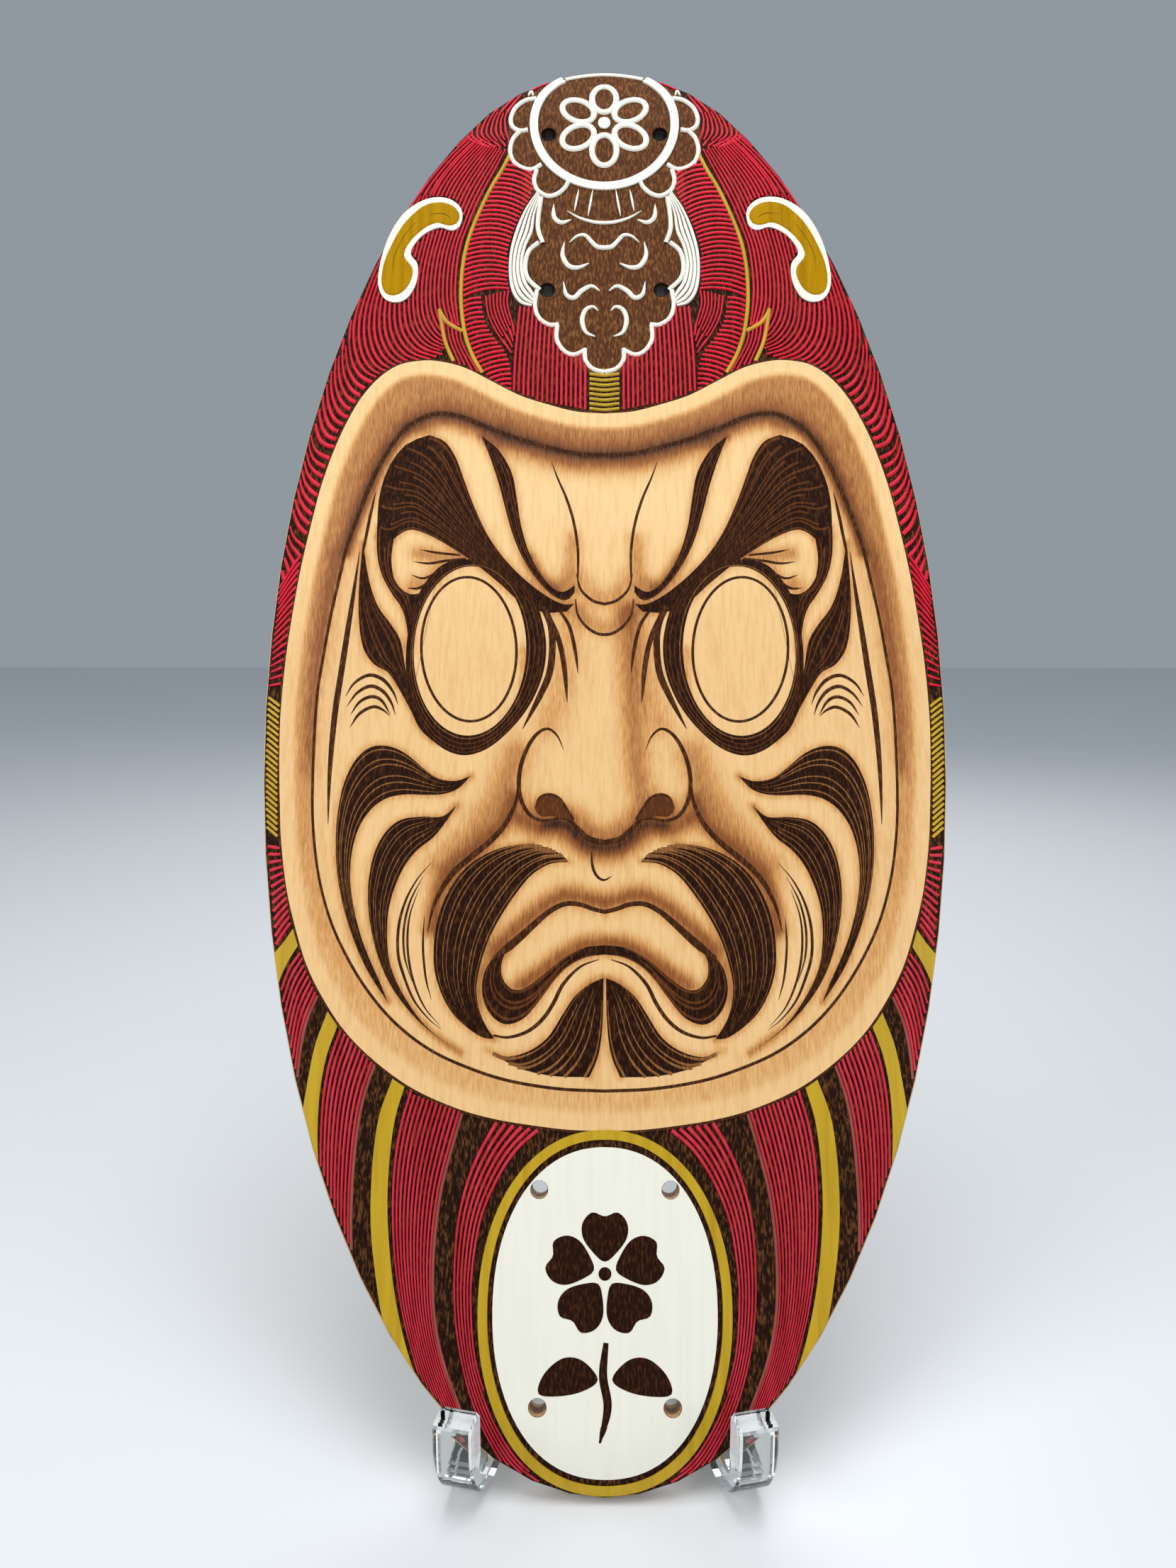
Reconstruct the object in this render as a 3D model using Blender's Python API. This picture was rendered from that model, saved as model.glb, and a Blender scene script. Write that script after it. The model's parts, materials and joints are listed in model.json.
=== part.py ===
"""Daruma skateboard deck on a hinged acrylic easel.

The deck is seven maple plies pressed with a kicked nose and tail and a gentle concave. It leans back
in the two hooks of a clear easel, whose arms are joined at the rear by a small steel butt hinge.

World frame: +Z up, +X to the right of the engraved face, -Y towards the viewer of that face.
Deck frame: x across the board, y through it towards the back, z along it towards the nose.
Arm frame: origin on the hinge pin at floor level, the arm reaching along -y, x outwards.
"""

import math

import bmesh
import bpy
from mathutils import Vector

MM = 0.001

# The deck, measured along its face.
HALF_WIDTH = 118.0 * MM
HALF_LENGTH = 248.75 * MM
OUTLINE_MIDDLE = 1.75 * MM
NOSE_POWER = 1.11
TAIL_POWER = 1.06
KICK_START = 224.0 * MM
KICK_RADIUS = 70.0 * MM
NOSE_KICK = math.radians(22)
TAIL_KICK = math.radians(20)
CONCAVE_START = 28.0 * MM
CONCAVE_DEPTH = 8.0 * MM

# Its seven plies.
PLY_COUNT = 7
PLY_THICKNESS = 1.4 * MM
GLUE_LINE = 0.12 * MM
PLY_PITCH = PLY_THICKNESS + GLUE_LINE
DECK_THICKNESS = PLY_COUNT * PLY_PITCH - GLUE_LINE
EDGE_RADIUS = 3.0 * MM
INNER_GRID_INSET = 3.0 * MM
ROWS = 30
COLUMNS = 8
PLY_NAMES = (
    "ply_1_engraved_face",
    "ply_2_long_grain",
    "ply_3_cross_grain",
    "ply_4_core",
    "ply_5_cross_grain",
    "ply_6_long_grain",
    "ply_7_back_face",
)

# Old-school truck bolt pattern.
WHEELBASE = 311.15 * MM
BOLT_SPACING_ALONG = 63.5 * MM
BOLT_SPACING_ACROSS = 41.28 * MM
BOLT_HOLE_RADIUS = 2.75 * MM
BOLT_HOLE_SIDES = 12

# How the deck stands.
LEAN = math.radians(20.5)
TAIL_CLEARANCE = 2.4 * MM

# The easel's arms, cut from sheet acrylic.
ARM_THICKNESS = 12.0 * MM
ARM_REACH = 178.0 * MM
SPLAY = math.radians(12.6)
ARM_SIDE_GAP = 0.4 * MM
LIP_THICKNESS = 9.5 * MM
LIP_TOP = 34.0 * MM
HEEL_RADIUS = 25.0 * MM
SEAT_HEIGHT = 11.8 * MM
LIP_TO_DECK = 5.4 * MM
UPRIGHT_TOP = 166.0 * MM
UPRIGHT_WIDTH = 14.0 * MM
UPRIGHT_CLEARANCE = 0.8 * MM
FOOT_HEIGHT = 13.0 * MM
REAR_BLOCK_HEIGHT = 40.0 * MM
REAR_BLOCK_DEPTH = 15.0 * MM
ARM_EDGE_BEVEL = 0.7 * MM

# The butt hinge.
GAP = 0.15 * MM
REAR_FACE_SETBACK = 2.2 * MM
LEAF_THICKNESS = 1.2 * MM
LEAF_BOTTOM = 4.0 * MM
LEAF_HEIGHT = 33.0 * MM
KNUCKLE_RADIUS = 2.0 * MM
KNUCKLE_COUNT = 3
KNUCKLE_GAP = 0.4 * MM
PIN_RADIUS = 1.0 * MM
PIN_HEAD_RADIUS = 1.8 * MM
PIN_HEAD_HEIGHT = 0.8 * MM
PIN_SIDES = 24
SCREW_HEIGHTS = (11.0 * MM, 30.0 * MM)
SCREW_SHANK_RADIUS = 1.2 * MM
SCREW_SHANK_LENGTH = 9.0 * MM
SCREW_HEAD_RADIUS = 2.4 * MM
SCREW_HEAD_HEIGHT = 1.2 * MM
SCREW_SIDES = 20


# ---------------------------------------------------------------- scene and materials


def clear_scene():
    for old in list(bpy.data.objects):
        bpy.data.objects.remove(old)


def material(name, colour, roughness, metallic=0.0):
    made = bpy.data.materials.new(name)
    made.use_nodes = True
    shader = made.node_tree.nodes["Principled BSDF"]
    shader.inputs["Base Color"].default_value = (*colour, 1.0)
    shader.inputs["Roughness"].default_value = roughness
    shader.inputs["Metallic"].default_value = metallic
    return made


def empty(name, parent=None, location=(0, 0, 0), rotation=(0, 0, 0)):
    made = bpy.data.objects.new(name, None)
    bpy.context.scene.collection.objects.link(made)
    made.parent = parent
    made.location = location
    made.rotation_euler = rotation
    return made


def object_from(name, mesh_builder, finish, parent):
    """Turns a bmesh into a named object under its parent's frame."""
    mesh = bpy.data.meshes.new(name)
    bmesh.ops.recalc_face_normals(mesh_builder, faces=mesh_builder.faces)
    mesh_builder.to_mesh(mesh)
    mesh_builder.free()
    if finish:
        mesh.materials.append(finish)
    made = bpy.data.objects.new(name, mesh)
    bpy.context.scene.collection.objects.link(made)
    made.parent = parent
    return made


def cutter(name, mesh_builder, parent):
    made = object_from(name, mesh_builder, None, parent)
    made.hide_render = True
    made.display_type = "WIRE"
    return made


def boolean(target, other, operation):
    added = target.modifiers.new(operation.lower() + "_" + other.name, "BOOLEAN")
    added.operation = operation
    added.object = other
    added.solver = "EXACT"


def smooth(made, angle=math.radians(35)):
    made.data.shade_smooth()
    made.data.set_sharp_from_angle(angle=angle)


# ---------------------------------------------------------------- shared shapes


def add_cylinder(builder, radius, start, end, sides):
    """Adds a closed cylinder between two points of the builder's frame."""
    axis = Vector(end) - Vector(start)
    matrix = axis.to_track_quat("Z", "Y").to_matrix().to_4x4()
    matrix.translation = (Vector(start) + Vector(end)) / 2
    bmesh.ops.create_cone(
        builder,
        cap_ends=True,
        segments=sides,
        radius1=radius,
        radius2=radius,
        depth=axis.length,
        matrix=matrix,
    )


def add_box(builder, low, high):
    size = Vector(high) - Vector(low)
    made = bmesh.ops.create_cube(builder, size=1.0)
    bmesh.ops.scale(builder, vec=size, verts=made["verts"])
    bmesh.ops.translate(
        builder, vec=(Vector(high) + Vector(low)) / 2, verts=made["verts"]
    )


def arc(centre, radius, start, end, steps):
    """Points of an arc in a plane, angles in degrees."""
    found = []
    for step in range(steps + 1):
        angle = math.radians(start + (end - start) * step / steps)
        found.append(
            (
                centre[0] + radius * math.cos(angle),
                centre[1] + radius * math.sin(angle),
            )
        )
    return found


def rounded_corner(before, corner, after, radius, steps):
    """Points that replace a polygon's corner with an arc of the given radius."""
    corner = Vector(corner)
    to_before = (Vector(before) - corner).normalized()
    to_after = (Vector(after) - corner).normalized()
    half = to_before.angle(to_after) / 2
    centre = corner + (to_before + to_after).normalized() * radius / math.sin(half)
    first = corner + to_before * radius / math.tan(half) - centre
    last = corner + to_after * radius / math.tan(half) - centre
    found = []
    for step in range(steps + 1):
        share = step / steps
        direction = first.normalized().slerp(last.normalized(), share)
        found.append(tuple(centre + direction * radius))
    return found


def turned(profile, sides):
    """A solid turned about local z from (radius, height) points that start and end on the axis."""
    builder = bmesh.new()
    points = [builder.verts.new((radius, 0, height)) for radius, height in profile]
    edges = [builder.edges.new(pair) for pair in zip(points, points[1:])]
    bmesh.ops.spin(
        builder,
        geom=points + edges,
        axis=(0, 0, 1),
        cent=(0, 0, 0),
        steps=sides,
        angle=2 * math.pi,
        use_merge=True,
    )
    bmesh.ops.remove_doubles(builder, verts=builder.verts, dist=0.00001)
    return builder


# ---------------------------------------------------------------- the pressed deck


def bend(distance, kick):
    """Rise along the board, set-back and slope of a kick at this distance past its start."""
    slope = min(max(distance, 0.0) / KICK_RADIUS, kick)
    straight = max(distance - KICK_RADIUS * kick, 0.0)
    along = KICK_RADIUS * math.sin(slope) + straight * math.cos(slope)
    back = KICK_RADIUS * (1 - math.cos(slope)) + straight * math.sin(slope)
    return along, back, slope


def deck_point(across, along, depth):
    """Point of the pressed board in its own frame, depth counted from the engraved face."""
    nose_rise, nose_back, nose_slope = bend(along - KICK_START, NOSE_KICK)
    tail_rise, tail_back, tail_slope = bend(-KICK_START - along, TAIL_KICK)
    flat = min(max(along, -KICK_START), KICK_START)
    slope = nose_slope - tail_slope
    normal = Vector((0, math.cos(slope), -math.sin(slope)))
    reach = max(abs(across) - CONCAVE_START, 0.0) / (HALF_WIDTH - CONCAVE_START)
    side_slope = 2 * CONCAVE_DEPTH * reach / (HALF_WIDTH - CONCAVE_START)
    outward = math.copysign(side_slope, across)
    through = (normal - Vector((outward, 0, 0))).normalized()
    base = Vector((across, nose_back + tail_back, flat + nose_rise - tail_rise))
    return base + normal * CONCAVE_DEPTH * reach**2 + through * depth


def outline_point(angle, inset):
    """Half width and position along the board of the egg outline, from nose (0) to tail (pi)."""
    power = NOSE_POWER if angle < math.pi / 2 else TAIL_POWER
    across = (HALF_WIDTH - inset) * max(math.sin(angle), 0.0) ** power
    along = OUTLINE_MIDDLE + (HALF_LENGTH - inset) * math.cos(angle)
    return across, along


def edge_inset(index):
    """How far the rounded edge draws this ply in from the widest one."""
    middle = index * PLY_PITCH + PLY_THICKNESS / 2
    from_face = min(middle, DECK_THICKNESS - middle)
    rounding = max(EDGE_RADIUS - from_face, 0.0)
    return EDGE_RADIUS - math.sqrt(EDGE_RADIUS**2 - rounding**2)


def ply_side(builder, inset, depth):
    """One face of a ply: an inner grid shared by all plies, then a ring out to this ply's edge."""
    angles = [math.pi * row / ROWS for row in range(1, ROWS)]
    grid = []
    for angle in angles:
        half, along = outline_point(angle, INNER_GRID_INSET)
        shares = [2 * column / COLUMNS - 1 for column in range(COLUMNS + 1)]
        grid.append(
            [builder.verts.new(deck_point(half * s, along, depth)) for s in shares]
        )
    tips = []
    for angle in (0.0, math.pi):
        along = outline_point(angle, INNER_GRID_INSET)[1]
        tips.append(builder.verts.new(deck_point(0.0, along, depth)))
    for upper, lower in zip(grid, grid[1:]):
        for column in range(COLUMNS):
            right = column + 1
            builder.faces.new(
                (upper[column], upper[right], lower[right], lower[column])
            )
    for tip, row in zip(tips, (grid[0], grid[-1])):
        for column in range(COLUMNS):
            builder.faces.new((tip, row[column], row[column + 1]))
    inner = [tips[0]] + [row[-1] for row in grid] + [tips[1]]
    inner += [row[0] for row in reversed(grid)]
    outer = []
    for angle, sign in (
        [(0.0, 1)]
        + [(a, 1) for a in angles]
        + [(math.pi, 1)]
        + [(a, -1) for a in reversed(angles)]
    ):
        half, along = outline_point(angle, inset)
        outer.append(builder.verts.new(deck_point(sign * half, along, depth)))
    for index in range(len(inner)):
        after = (index + 1) % len(inner)
        builder.faces.new((inner[index], inner[after], outer[after], outer[index]))
    return outer


def build_ply(index, finish, frame):
    builder = bmesh.new()
    inset = edge_inset(index)
    near = index * PLY_PITCH
    front = ply_side(builder, inset, near)
    back = ply_side(builder, inset, near + PLY_THICKNESS)
    for place in range(len(front)):
        after = (place + 1) % len(front)
        builder.faces.new((front[place], front[after], back[after], back[place]))
    made = object_from(PLY_NAMES[index], builder, finish, frame)
    smooth(made)
    return made


def bolt_positions():
    """The eight truck bolt holes, as (across, along)."""
    found = []
    for end in (-1, 1):
        for row in (0, 1):
            along = end * (WHEELBASE / 2 + row * BOLT_SPACING_ALONG)
            for side in (-1, 1):
                found.append((side * BOLT_SPACING_ACROSS / 2, along))
    return found


def build_deck(frame):
    """Seven plies with eight bolt holes drilled through them all."""
    maple = material("maple_veneer", (0.76, 0.56, 0.33), 0.5)
    engraved = material("engraved_maple", (0.80, 0.60, 0.36), 0.45)
    drill = bmesh.new()
    for across, along in bolt_positions():
        start = (across, -DECK_THICKNESS, along)
        end = (across, 2 * DECK_THICKNESS, along)
        add_cylinder(drill, BOLT_HOLE_RADIUS, start, end, BOLT_HOLE_SIDES)
    holes = cutter("bolt_hole_drill", drill, frame)
    for index in range(PLY_COUNT):
        ply = build_ply(index, engraved if index == 0 else maple, frame)
        boolean(ply, holes, "DIFFERENCE")


# ---------------------------------------------------------------- the easel's arms


def back_face_y(height):
    """World y, counted from the hinge pin, of the deck's back face at this height."""
    tail = lip_front_y() + LIP_TO_DECK
    slant = (height - TAIL_CLEARANCE) * math.tan(LEAN)
    return tail + DECK_THICKNESS / math.cos(LEAN) + slant


def lip_front_y():
    """World y of the lips' front, at the middle of an arm's thickness."""
    middle = ARM_SIDE_GAP + ARM_THICKNESS / 2
    return middle * math.sin(SPLAY) - ARM_REACH * math.cos(SPLAY)


def upright_y(height):
    """Arm-frame y of the upright's front edge, just clear of the deck's back face."""
    inner_edge = ARM_SIDE_GAP * math.sin(SPLAY)
    return (back_face_y(height) + UPRIGHT_CLEARANCE - inner_edge) / math.cos(SPLAY)


def arm_profile():
    """The arm's side outline as (y, z), counter-clockwise seen from +x."""
    front = -ARM_REACH
    rear = -REAR_FACE_SETBACK
    seat_end = (upright_y(SEAT_HEIGHT), SEAT_HEIGHT)
    upright_end = (upright_y(UPRIGHT_TOP), UPRIGHT_TOP)
    slope = math.atan2(upright_end[0] - seat_end[0], upright_end[1] - seat_end[1])
    step_back = UPRIGHT_WIDTH / math.cos(slope)
    behind_top = (
        upright_end[0] + UPRIGHT_WIDTH * math.cos(slope),
        upright_end[1] - UPRIGHT_WIDTH * math.sin(slope),
    )
    crotch_run = (FOOT_HEIGHT - SEAT_HEIGHT) * math.tan(slope)
    crotch = (seat_end[0] + step_back + crotch_run, FOOT_HEIGHT)
    block_foot = (rear - REAR_BLOCK_DEPTH, FOOT_HEIGHT)
    corners = [
        ((front, LIP_TOP), 2.5, 4),
        ((front + LIP_THICKNESS, LIP_TOP), 2.5, 4),
        ((front + LIP_THICKNESS, SEAT_HEIGHT), 2.5, 4),
        (seat_end, 1.5, 3),
        (upright_end, 6.5, 5),
        (behind_top, 6.5, 5),
        (crotch, 14.0, 6),
        (block_foot, 10.0, 5),
        ((block_foot[0], REAR_BLOCK_HEIGHT), 5.0, 4),
        ((rear, REAR_BLOCK_HEIGHT), 1.5, 3),
        ((rear, 0.0), 1.5, 3),
    ]
    heel = arc((front + HEEL_RADIUS, HEEL_RADIUS), HEEL_RADIUS, 270, 180, 12)
    path = [place for place, _, _ in corners]
    around = [heel[-1]] + path + [heel[0]]
    found = []
    for index, (place, radius, steps) in enumerate(corners):
        found += rounded_corner(
            around[index], place, around[index + 2], radius * MM, steps
        )
    return found + heel


def build_arm(name, side, finish, frame):
    """One clear arm, on the right (side 1) or left (side -1) of the hinge."""
    builder = bmesh.new()
    near, far = ARM_SIDE_GAP, ARM_SIDE_GAP + ARM_THICKNESS
    outline = [builder.verts.new((side * near, y, z)) for y, z in arm_profile()]
    face = builder.faces.new(outline)
    pulled = bmesh.ops.extrude_face_region(builder, geom=[face])
    moved = [part for part in pulled["geom"] if isinstance(part, bmesh.types.BMVert)]
    bmesh.ops.translate(builder, vec=(side * (far - near), 0, 0), verts=moved)
    made = object_from(name, builder, finish, frame)
    bevel = made.modifiers.new("polished_edges", "BEVEL")
    bevel.width = ARM_EDGE_BEVEL
    bevel.segments = 1
    bevel.limit_method = "ANGLE"
    bevel.angle_limit = math.radians(60)
    drill = bmesh.new()
    middle = side * (near + ARM_THICKNESS / 2)
    for height in SCREW_HEIGHTS:
        start = (middle, -REAR_FACE_SETBACK - SCREW_SHANK_LENGTH - GAP, height)
        end = (middle, KNUCKLE_RADIUS, height)
        add_cylinder(drill, SCREW_SHANK_RADIUS + GAP, start, end, SCREW_SIDES)
    boolean(made, cutter(name + "_pilot_holes", drill, frame), "DIFFERENCE")
    smooth(made)
    return made


# ---------------------------------------------------------------- the hinge


def knuckle_spans():
    """Bottom and top of each knuckle, from the floor up."""
    pitch = LEAF_HEIGHT / KNUCKLE_COUNT
    spans = []
    for index in range(KNUCKLE_COUNT):
        bottom = LEAF_BOTTOM + index * pitch
        spans.append((bottom + KNUCKLE_GAP / 2, bottom + pitch - KNUCKLE_GAP / 2))
    return spans


def build_leaf(name, side, knuckles, finish, frame):
    """A hinge leaf screwed to an arm's rear face, with its share of the knuckles."""
    front = -REAR_FACE_SETBACK + GAP
    outer = side * (ARM_SIDE_GAP + ARM_THICKNESS)
    inner = side * (KNUCKLE_RADIUS + KNUCKLE_GAP)
    plate = bmesh.new()
    low = (min(inner, outer), front, LEAF_BOTTOM)
    high = (max(inner, outer), front + LEAF_THICKNESS, LEAF_BOTTOM + LEAF_HEIGHT)
    add_box(plate, low, high)
    made = object_from(name, plate, finish, frame)
    for number in knuckles:
        bottom, top = knuckle_spans()[number]
        tab = bmesh.new()
        reach = inner + side * MM
        add_box(
            tab,
            (min(0, reach), front, bottom),
            (max(0, reach), front + LEAF_THICKNESS, top),
        )
        boolean(made, cutter(f"{name}_tab_{number}", tab, frame), "UNION")
        barrel = bmesh.new()
        add_cylinder(barrel, KNUCKLE_RADIUS, (0, 0, bottom), (0, 0, top), PIN_SIDES)
        boolean(made, cutter(f"{name}_barrel_{number}", barrel, frame), "UNION")
    holes = bmesh.new()
    above = LEAF_BOTTOM + 2 * LEAF_HEIGHT
    add_cylinder(holes, PIN_RADIUS + GAP, (0, 0, -LEAF_HEIGHT), (0, 0, above), PIN_SIDES)
    for height in SCREW_HEIGHTS:
        middle = side * (ARM_SIDE_GAP + ARM_THICKNESS / 2)
        start = (middle, -2 * REAR_FACE_SETBACK, height)
        end = (middle, 2 * KNUCKLE_RADIUS, height)
        add_cylinder(holes, SCREW_SHANK_RADIUS + GAP, start, end, SCREW_SIDES)
    boolean(made, cutter(name + "_holes", holes, frame), "DIFFERENCE")
    smooth(made)
    return made


def build_pin(finish, frame):
    """The hinge pin, with a flat head at its top and a peened end below."""
    bottom = LEAF_BOTTOM - GAP
    top = LEAF_BOTTOM + LEAF_HEIGHT + GAP
    peen = PIN_HEAD_HEIGHT / 2
    profile = [
        (0, bottom - peen),
        (PIN_HEAD_RADIUS * 0.8, bottom - peen),
        (PIN_HEAD_RADIUS * 0.8, bottom),
        (PIN_RADIUS, bottom),
        (PIN_RADIUS, top),
        (PIN_HEAD_RADIUS, top),
        (PIN_HEAD_RADIUS, top + peen),
        (PIN_HEAD_RADIUS * 0.7, top + PIN_HEAD_HEIGHT),
        (0, top + PIN_HEAD_HEIGHT),
    ]
    made = object_from("hinge_pin", turned(profile, PIN_SIDES), finish, frame)
    smooth(made)
    return made


def build_screw(name, side, height, finish, frame):
    """A pan-head screw whose axis runs along the arm, from the leaf into the acrylic."""
    under_head = 0.0
    profile = [
        (0, -SCREW_SHANK_LENGTH),
        (SCREW_SHANK_RADIUS * 0.4, -SCREW_SHANK_LENGTH),
        (SCREW_SHANK_RADIUS, -SCREW_SHANK_LENGTH * 0.8),
        (SCREW_SHANK_RADIUS, under_head),
        (SCREW_HEAD_RADIUS, under_head),
        (SCREW_HEAD_RADIUS, SCREW_HEAD_HEIGHT * 0.5),
        (SCREW_HEAD_RADIUS * 0.7, SCREW_HEAD_HEIGHT),
        (0, SCREW_HEAD_HEIGHT),
    ]
    made = object_from(name, turned(profile, SCREW_SIDES), finish, frame)
    seat = -REAR_FACE_SETBACK + LEAF_THICKNESS + 2 * GAP
    made.location = (side * (ARM_SIDE_GAP + ARM_THICKNESS / 2), seat, height)
    made.rotation_euler = (-math.pi / 2, 0, 0)
    smooth(made)
    return made


def build_easel(pin_frame):
    """Two splayed arms, the butt hinge that joins them, its pin and its four screws."""
    acrylic = material("clear_acrylic", (0.92, 0.95, 0.94), 0.05)
    steel = material("hinge_steel", (0.62, 0.62, 0.60), 0.3, metallic=1.0)
    build_pin(steel, pin_frame)
    for label, side, knuckles in (("right", 1, (0, 2)), ("left", -1, (1,))):
        frame = empty(
            f"{label}_arm_frame", pin_frame, rotation=(0, 0, side * SPLAY)
        )
        build_arm(f"{label}_arm", side, acrylic, frame)
        build_leaf(f"{label}_hinge_leaf", side, knuckles, steel, frame)
        for place, height in zip(("lower", "upper"), SCREW_HEIGHTS):
            build_screw(f"{label}_{place}_hinge_screw", side, height, steel, frame)


# ---------------------------------------------------------------- assembly


def deck_location():
    """Where the deck frame's origin stands, counted from the foot of the hinge pin."""
    tail = OUTLINE_MIDDLE - HALF_LENGTH
    height = TAIL_CLEARANCE - tail * math.cos(LEAN)
    depth = lip_front_y() + LIP_TO_DECK - tail * math.sin(LEAN)
    return (0.0, depth, height)


def centre_on_origin(assembly):
    """Slides the assembly so that the middle of its depth is over the origin."""
    bpy.context.view_layer.update()
    graph = bpy.context.evaluated_depsgraph_get()
    depths = []
    for each in bpy.data.objects:
        if each.type == "MESH" and not each.hide_render:
            solid = each.evaluated_get(graph)
            placed = solid.matrix_world
            depths += [(placed @ vertex.co).y for vertex in solid.data.vertices]
    assembly.location.y = -(min(depths) + max(depths)) / 2


def main():
    clear_scene()
    assembly = empty("assembly")
    build_easel(empty("pin_frame", assembly))
    build_deck(
        empty("deck_frame", assembly, deck_location(), rotation=(-LEAN, 0, 0))
    )
    centre_on_origin(assembly)


main()
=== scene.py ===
"""Looks of the daruma skateboard deck on its clear easel.

The artwork is drawn on the unrolled face of the deck: u across, v along it towards the nose, both in
millimetres from the middle between the truck pads. Every painted line, rib and panel is a thin
raised mesh laid on the pressed surface. Curves are given for the left half and mirrored.
"""

import json
import math

import bpy
import numpy as np
from mathutils import Matrix, Vector
from mathutils.geometry import delaunay_2d_cdt


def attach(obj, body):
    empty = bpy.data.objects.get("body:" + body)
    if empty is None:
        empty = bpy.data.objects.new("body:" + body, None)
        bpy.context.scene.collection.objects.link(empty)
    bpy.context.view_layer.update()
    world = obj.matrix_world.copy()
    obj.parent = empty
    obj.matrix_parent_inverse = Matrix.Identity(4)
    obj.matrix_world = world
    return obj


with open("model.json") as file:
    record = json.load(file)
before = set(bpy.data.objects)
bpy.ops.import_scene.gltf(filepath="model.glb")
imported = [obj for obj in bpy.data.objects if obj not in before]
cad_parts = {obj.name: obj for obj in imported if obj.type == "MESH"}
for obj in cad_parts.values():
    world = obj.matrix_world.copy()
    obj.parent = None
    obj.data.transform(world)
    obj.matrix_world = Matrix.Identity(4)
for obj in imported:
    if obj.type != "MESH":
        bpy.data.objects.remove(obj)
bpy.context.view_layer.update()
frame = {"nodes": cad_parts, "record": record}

MM = 0.001

# The deck's frame, from the record's truck pads.
MOUNTS = {mount["name"]: mount for mount in frame["record"]["mounts"]}
NOSE_PAD = Vector(MOUNTS["front_truck_pad"]["pos_m"])
TAIL_PAD = Vector(MOUNTS["rear_truck_pad"]["pos_m"])
DECK_MIDDLE = (NOSE_PAD + TAIL_PAD) / 2
ALONG = (NOSE_PAD - TAIL_PAD).normalized()
OUT = Vector(MOUNTS["front_truck_pad"]["axis"]).normalized()
ACROSS = ALONG.cross(OUT).normalized()
LEAN = math.asin(OUT.z)

# The pressed shape, as the CAD has it, in millimetres.
HALF_WIDTH = 118.0
HALF_LENGTH = 248.75
OUTLINE_MIDDLE = 1.75
NOSE_POWER = 1.11
TAIL_POWER = 1.06
KICK_START = 224.0
KICK_RADIUS = 70.0
NOSE_KICK = math.radians(22)
TAIL_KICK = math.radians(20)
CONCAVE_START = 28.0
CONCAVE_DEPTH = 8.0
FACE_INSET = 1.07
HOLE_RADIUS = 2.75
HOLE_ACROSS = 20.64
HOLE_ROWS_MIDDLE = 187.325
HOLE_ROWS_APART = 63.5


# ---------------------------------------------------------------- the pressed surface


def bend(distance, kick):
    slope = np.clip(distance / KICK_RADIUS, 0.0, kick)
    straight = np.maximum(distance - KICK_RADIUS * kick, 0.0)
    along = KICK_RADIUS * np.sin(slope) + straight * np.cos(slope)
    back = KICK_RADIUS * (1 - np.cos(slope)) + straight * np.sin(slope)
    return along, back, slope


def on_deck(u, v, lift):
    """World places, in metres, of points of the unrolled face raised off it by lift."""
    u, v, lift = np.broadcast_arrays(u, v, lift)
    nose_rise, nose_back, nose_slope = bend(v - KICK_START, NOSE_KICK)
    tail_rise, tail_back, tail_slope = bend(-KICK_START - v, TAIL_KICK)
    slope = nose_slope - tail_slope
    span = HALF_WIDTH - CONCAVE_START
    reach = np.maximum(np.abs(u) - CONCAVE_START, 0.0) / span
    outward = np.sign(u) * 2 * CONCAVE_DEPTH * reach / span
    through = np.stack([-outward, np.cos(slope), -np.sin(slope)], -1)
    through /= np.linalg.norm(through, axis=-1, keepdims=True)
    sunk = CONCAVE_DEPTH * reach**2
    flat = np.clip(v, -KICK_START, KICK_START)
    depth = nose_back + tail_back + sunk * np.cos(slope)
    height = flat + nose_rise - tail_rise - sunk * np.sin(slope)
    local = np.stack([u, depth, height], -1) - through * lift[..., None]
    axes = np.array([ACROSS, -OUT, ALONG])
    return np.array(DECK_MIDDLE) + local * MM @ axes


def outline(inset, steps=180):
    """The deck's egg outline, counter-clockwise from the right of the tail."""
    angle = np.linspace(-np.pi, np.pi, steps, endpoint=False)
    power = np.where(np.abs(angle) < np.pi / 2, NOSE_POWER, TAIL_POWER)
    half = (HALF_WIDTH - inset) * np.abs(np.sin(angle)) ** power
    along = OUTLINE_MIDDLE + (HALF_LENGTH - inset) * np.cos(angle)
    return np.stack([half * np.sign(angle), along], -1)


# ---------------------------------------------------------------- curves in the plane of the face


def resample(path, count):
    """The same path with this many evenly spaced points."""
    path = np.asarray(path, float)
    run = np.r_[0.0, np.cumsum(np.linalg.norm(np.diff(path, axis=0), axis=1))]
    where = np.linspace(0, run[-1], count)
    return np.stack([np.interp(where, run, path[:, axis]) for axis in (0, 1)], -1)


def length(path):
    return float(np.linalg.norm(np.diff(path, axis=0), axis=1).sum())


def curve(points, closed=False, step=1.3):
    """A smooth curve through the given points."""
    p = np.array(points, float)
    if len(p) < 3:
        return resample(p, max(2, int(length(p) / step)))
    p = np.vstack([p[-1], p, p[:2]]) if closed else np.vstack([2 * p[0] - p[1], p, 2 * p[-1] - p[-2]])
    s = np.linspace(0, 1, 10, endpoint=False)[:, None]
    dense = []
    for a, b, c, d in zip(p, p[1:], p[2:], p[3:]):
        bends = (2 * a - 5 * b + 4 * c - d) * s**2 + (3 * b - a - 3 * c + d) * s**3
        dense.append(0.5 * (2 * b + (c - a) * s + bends))
    dense = np.vstack(dense + [p[-2:-1]])
    return resample(dense, max(4, int(length(dense) / step)))


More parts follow.
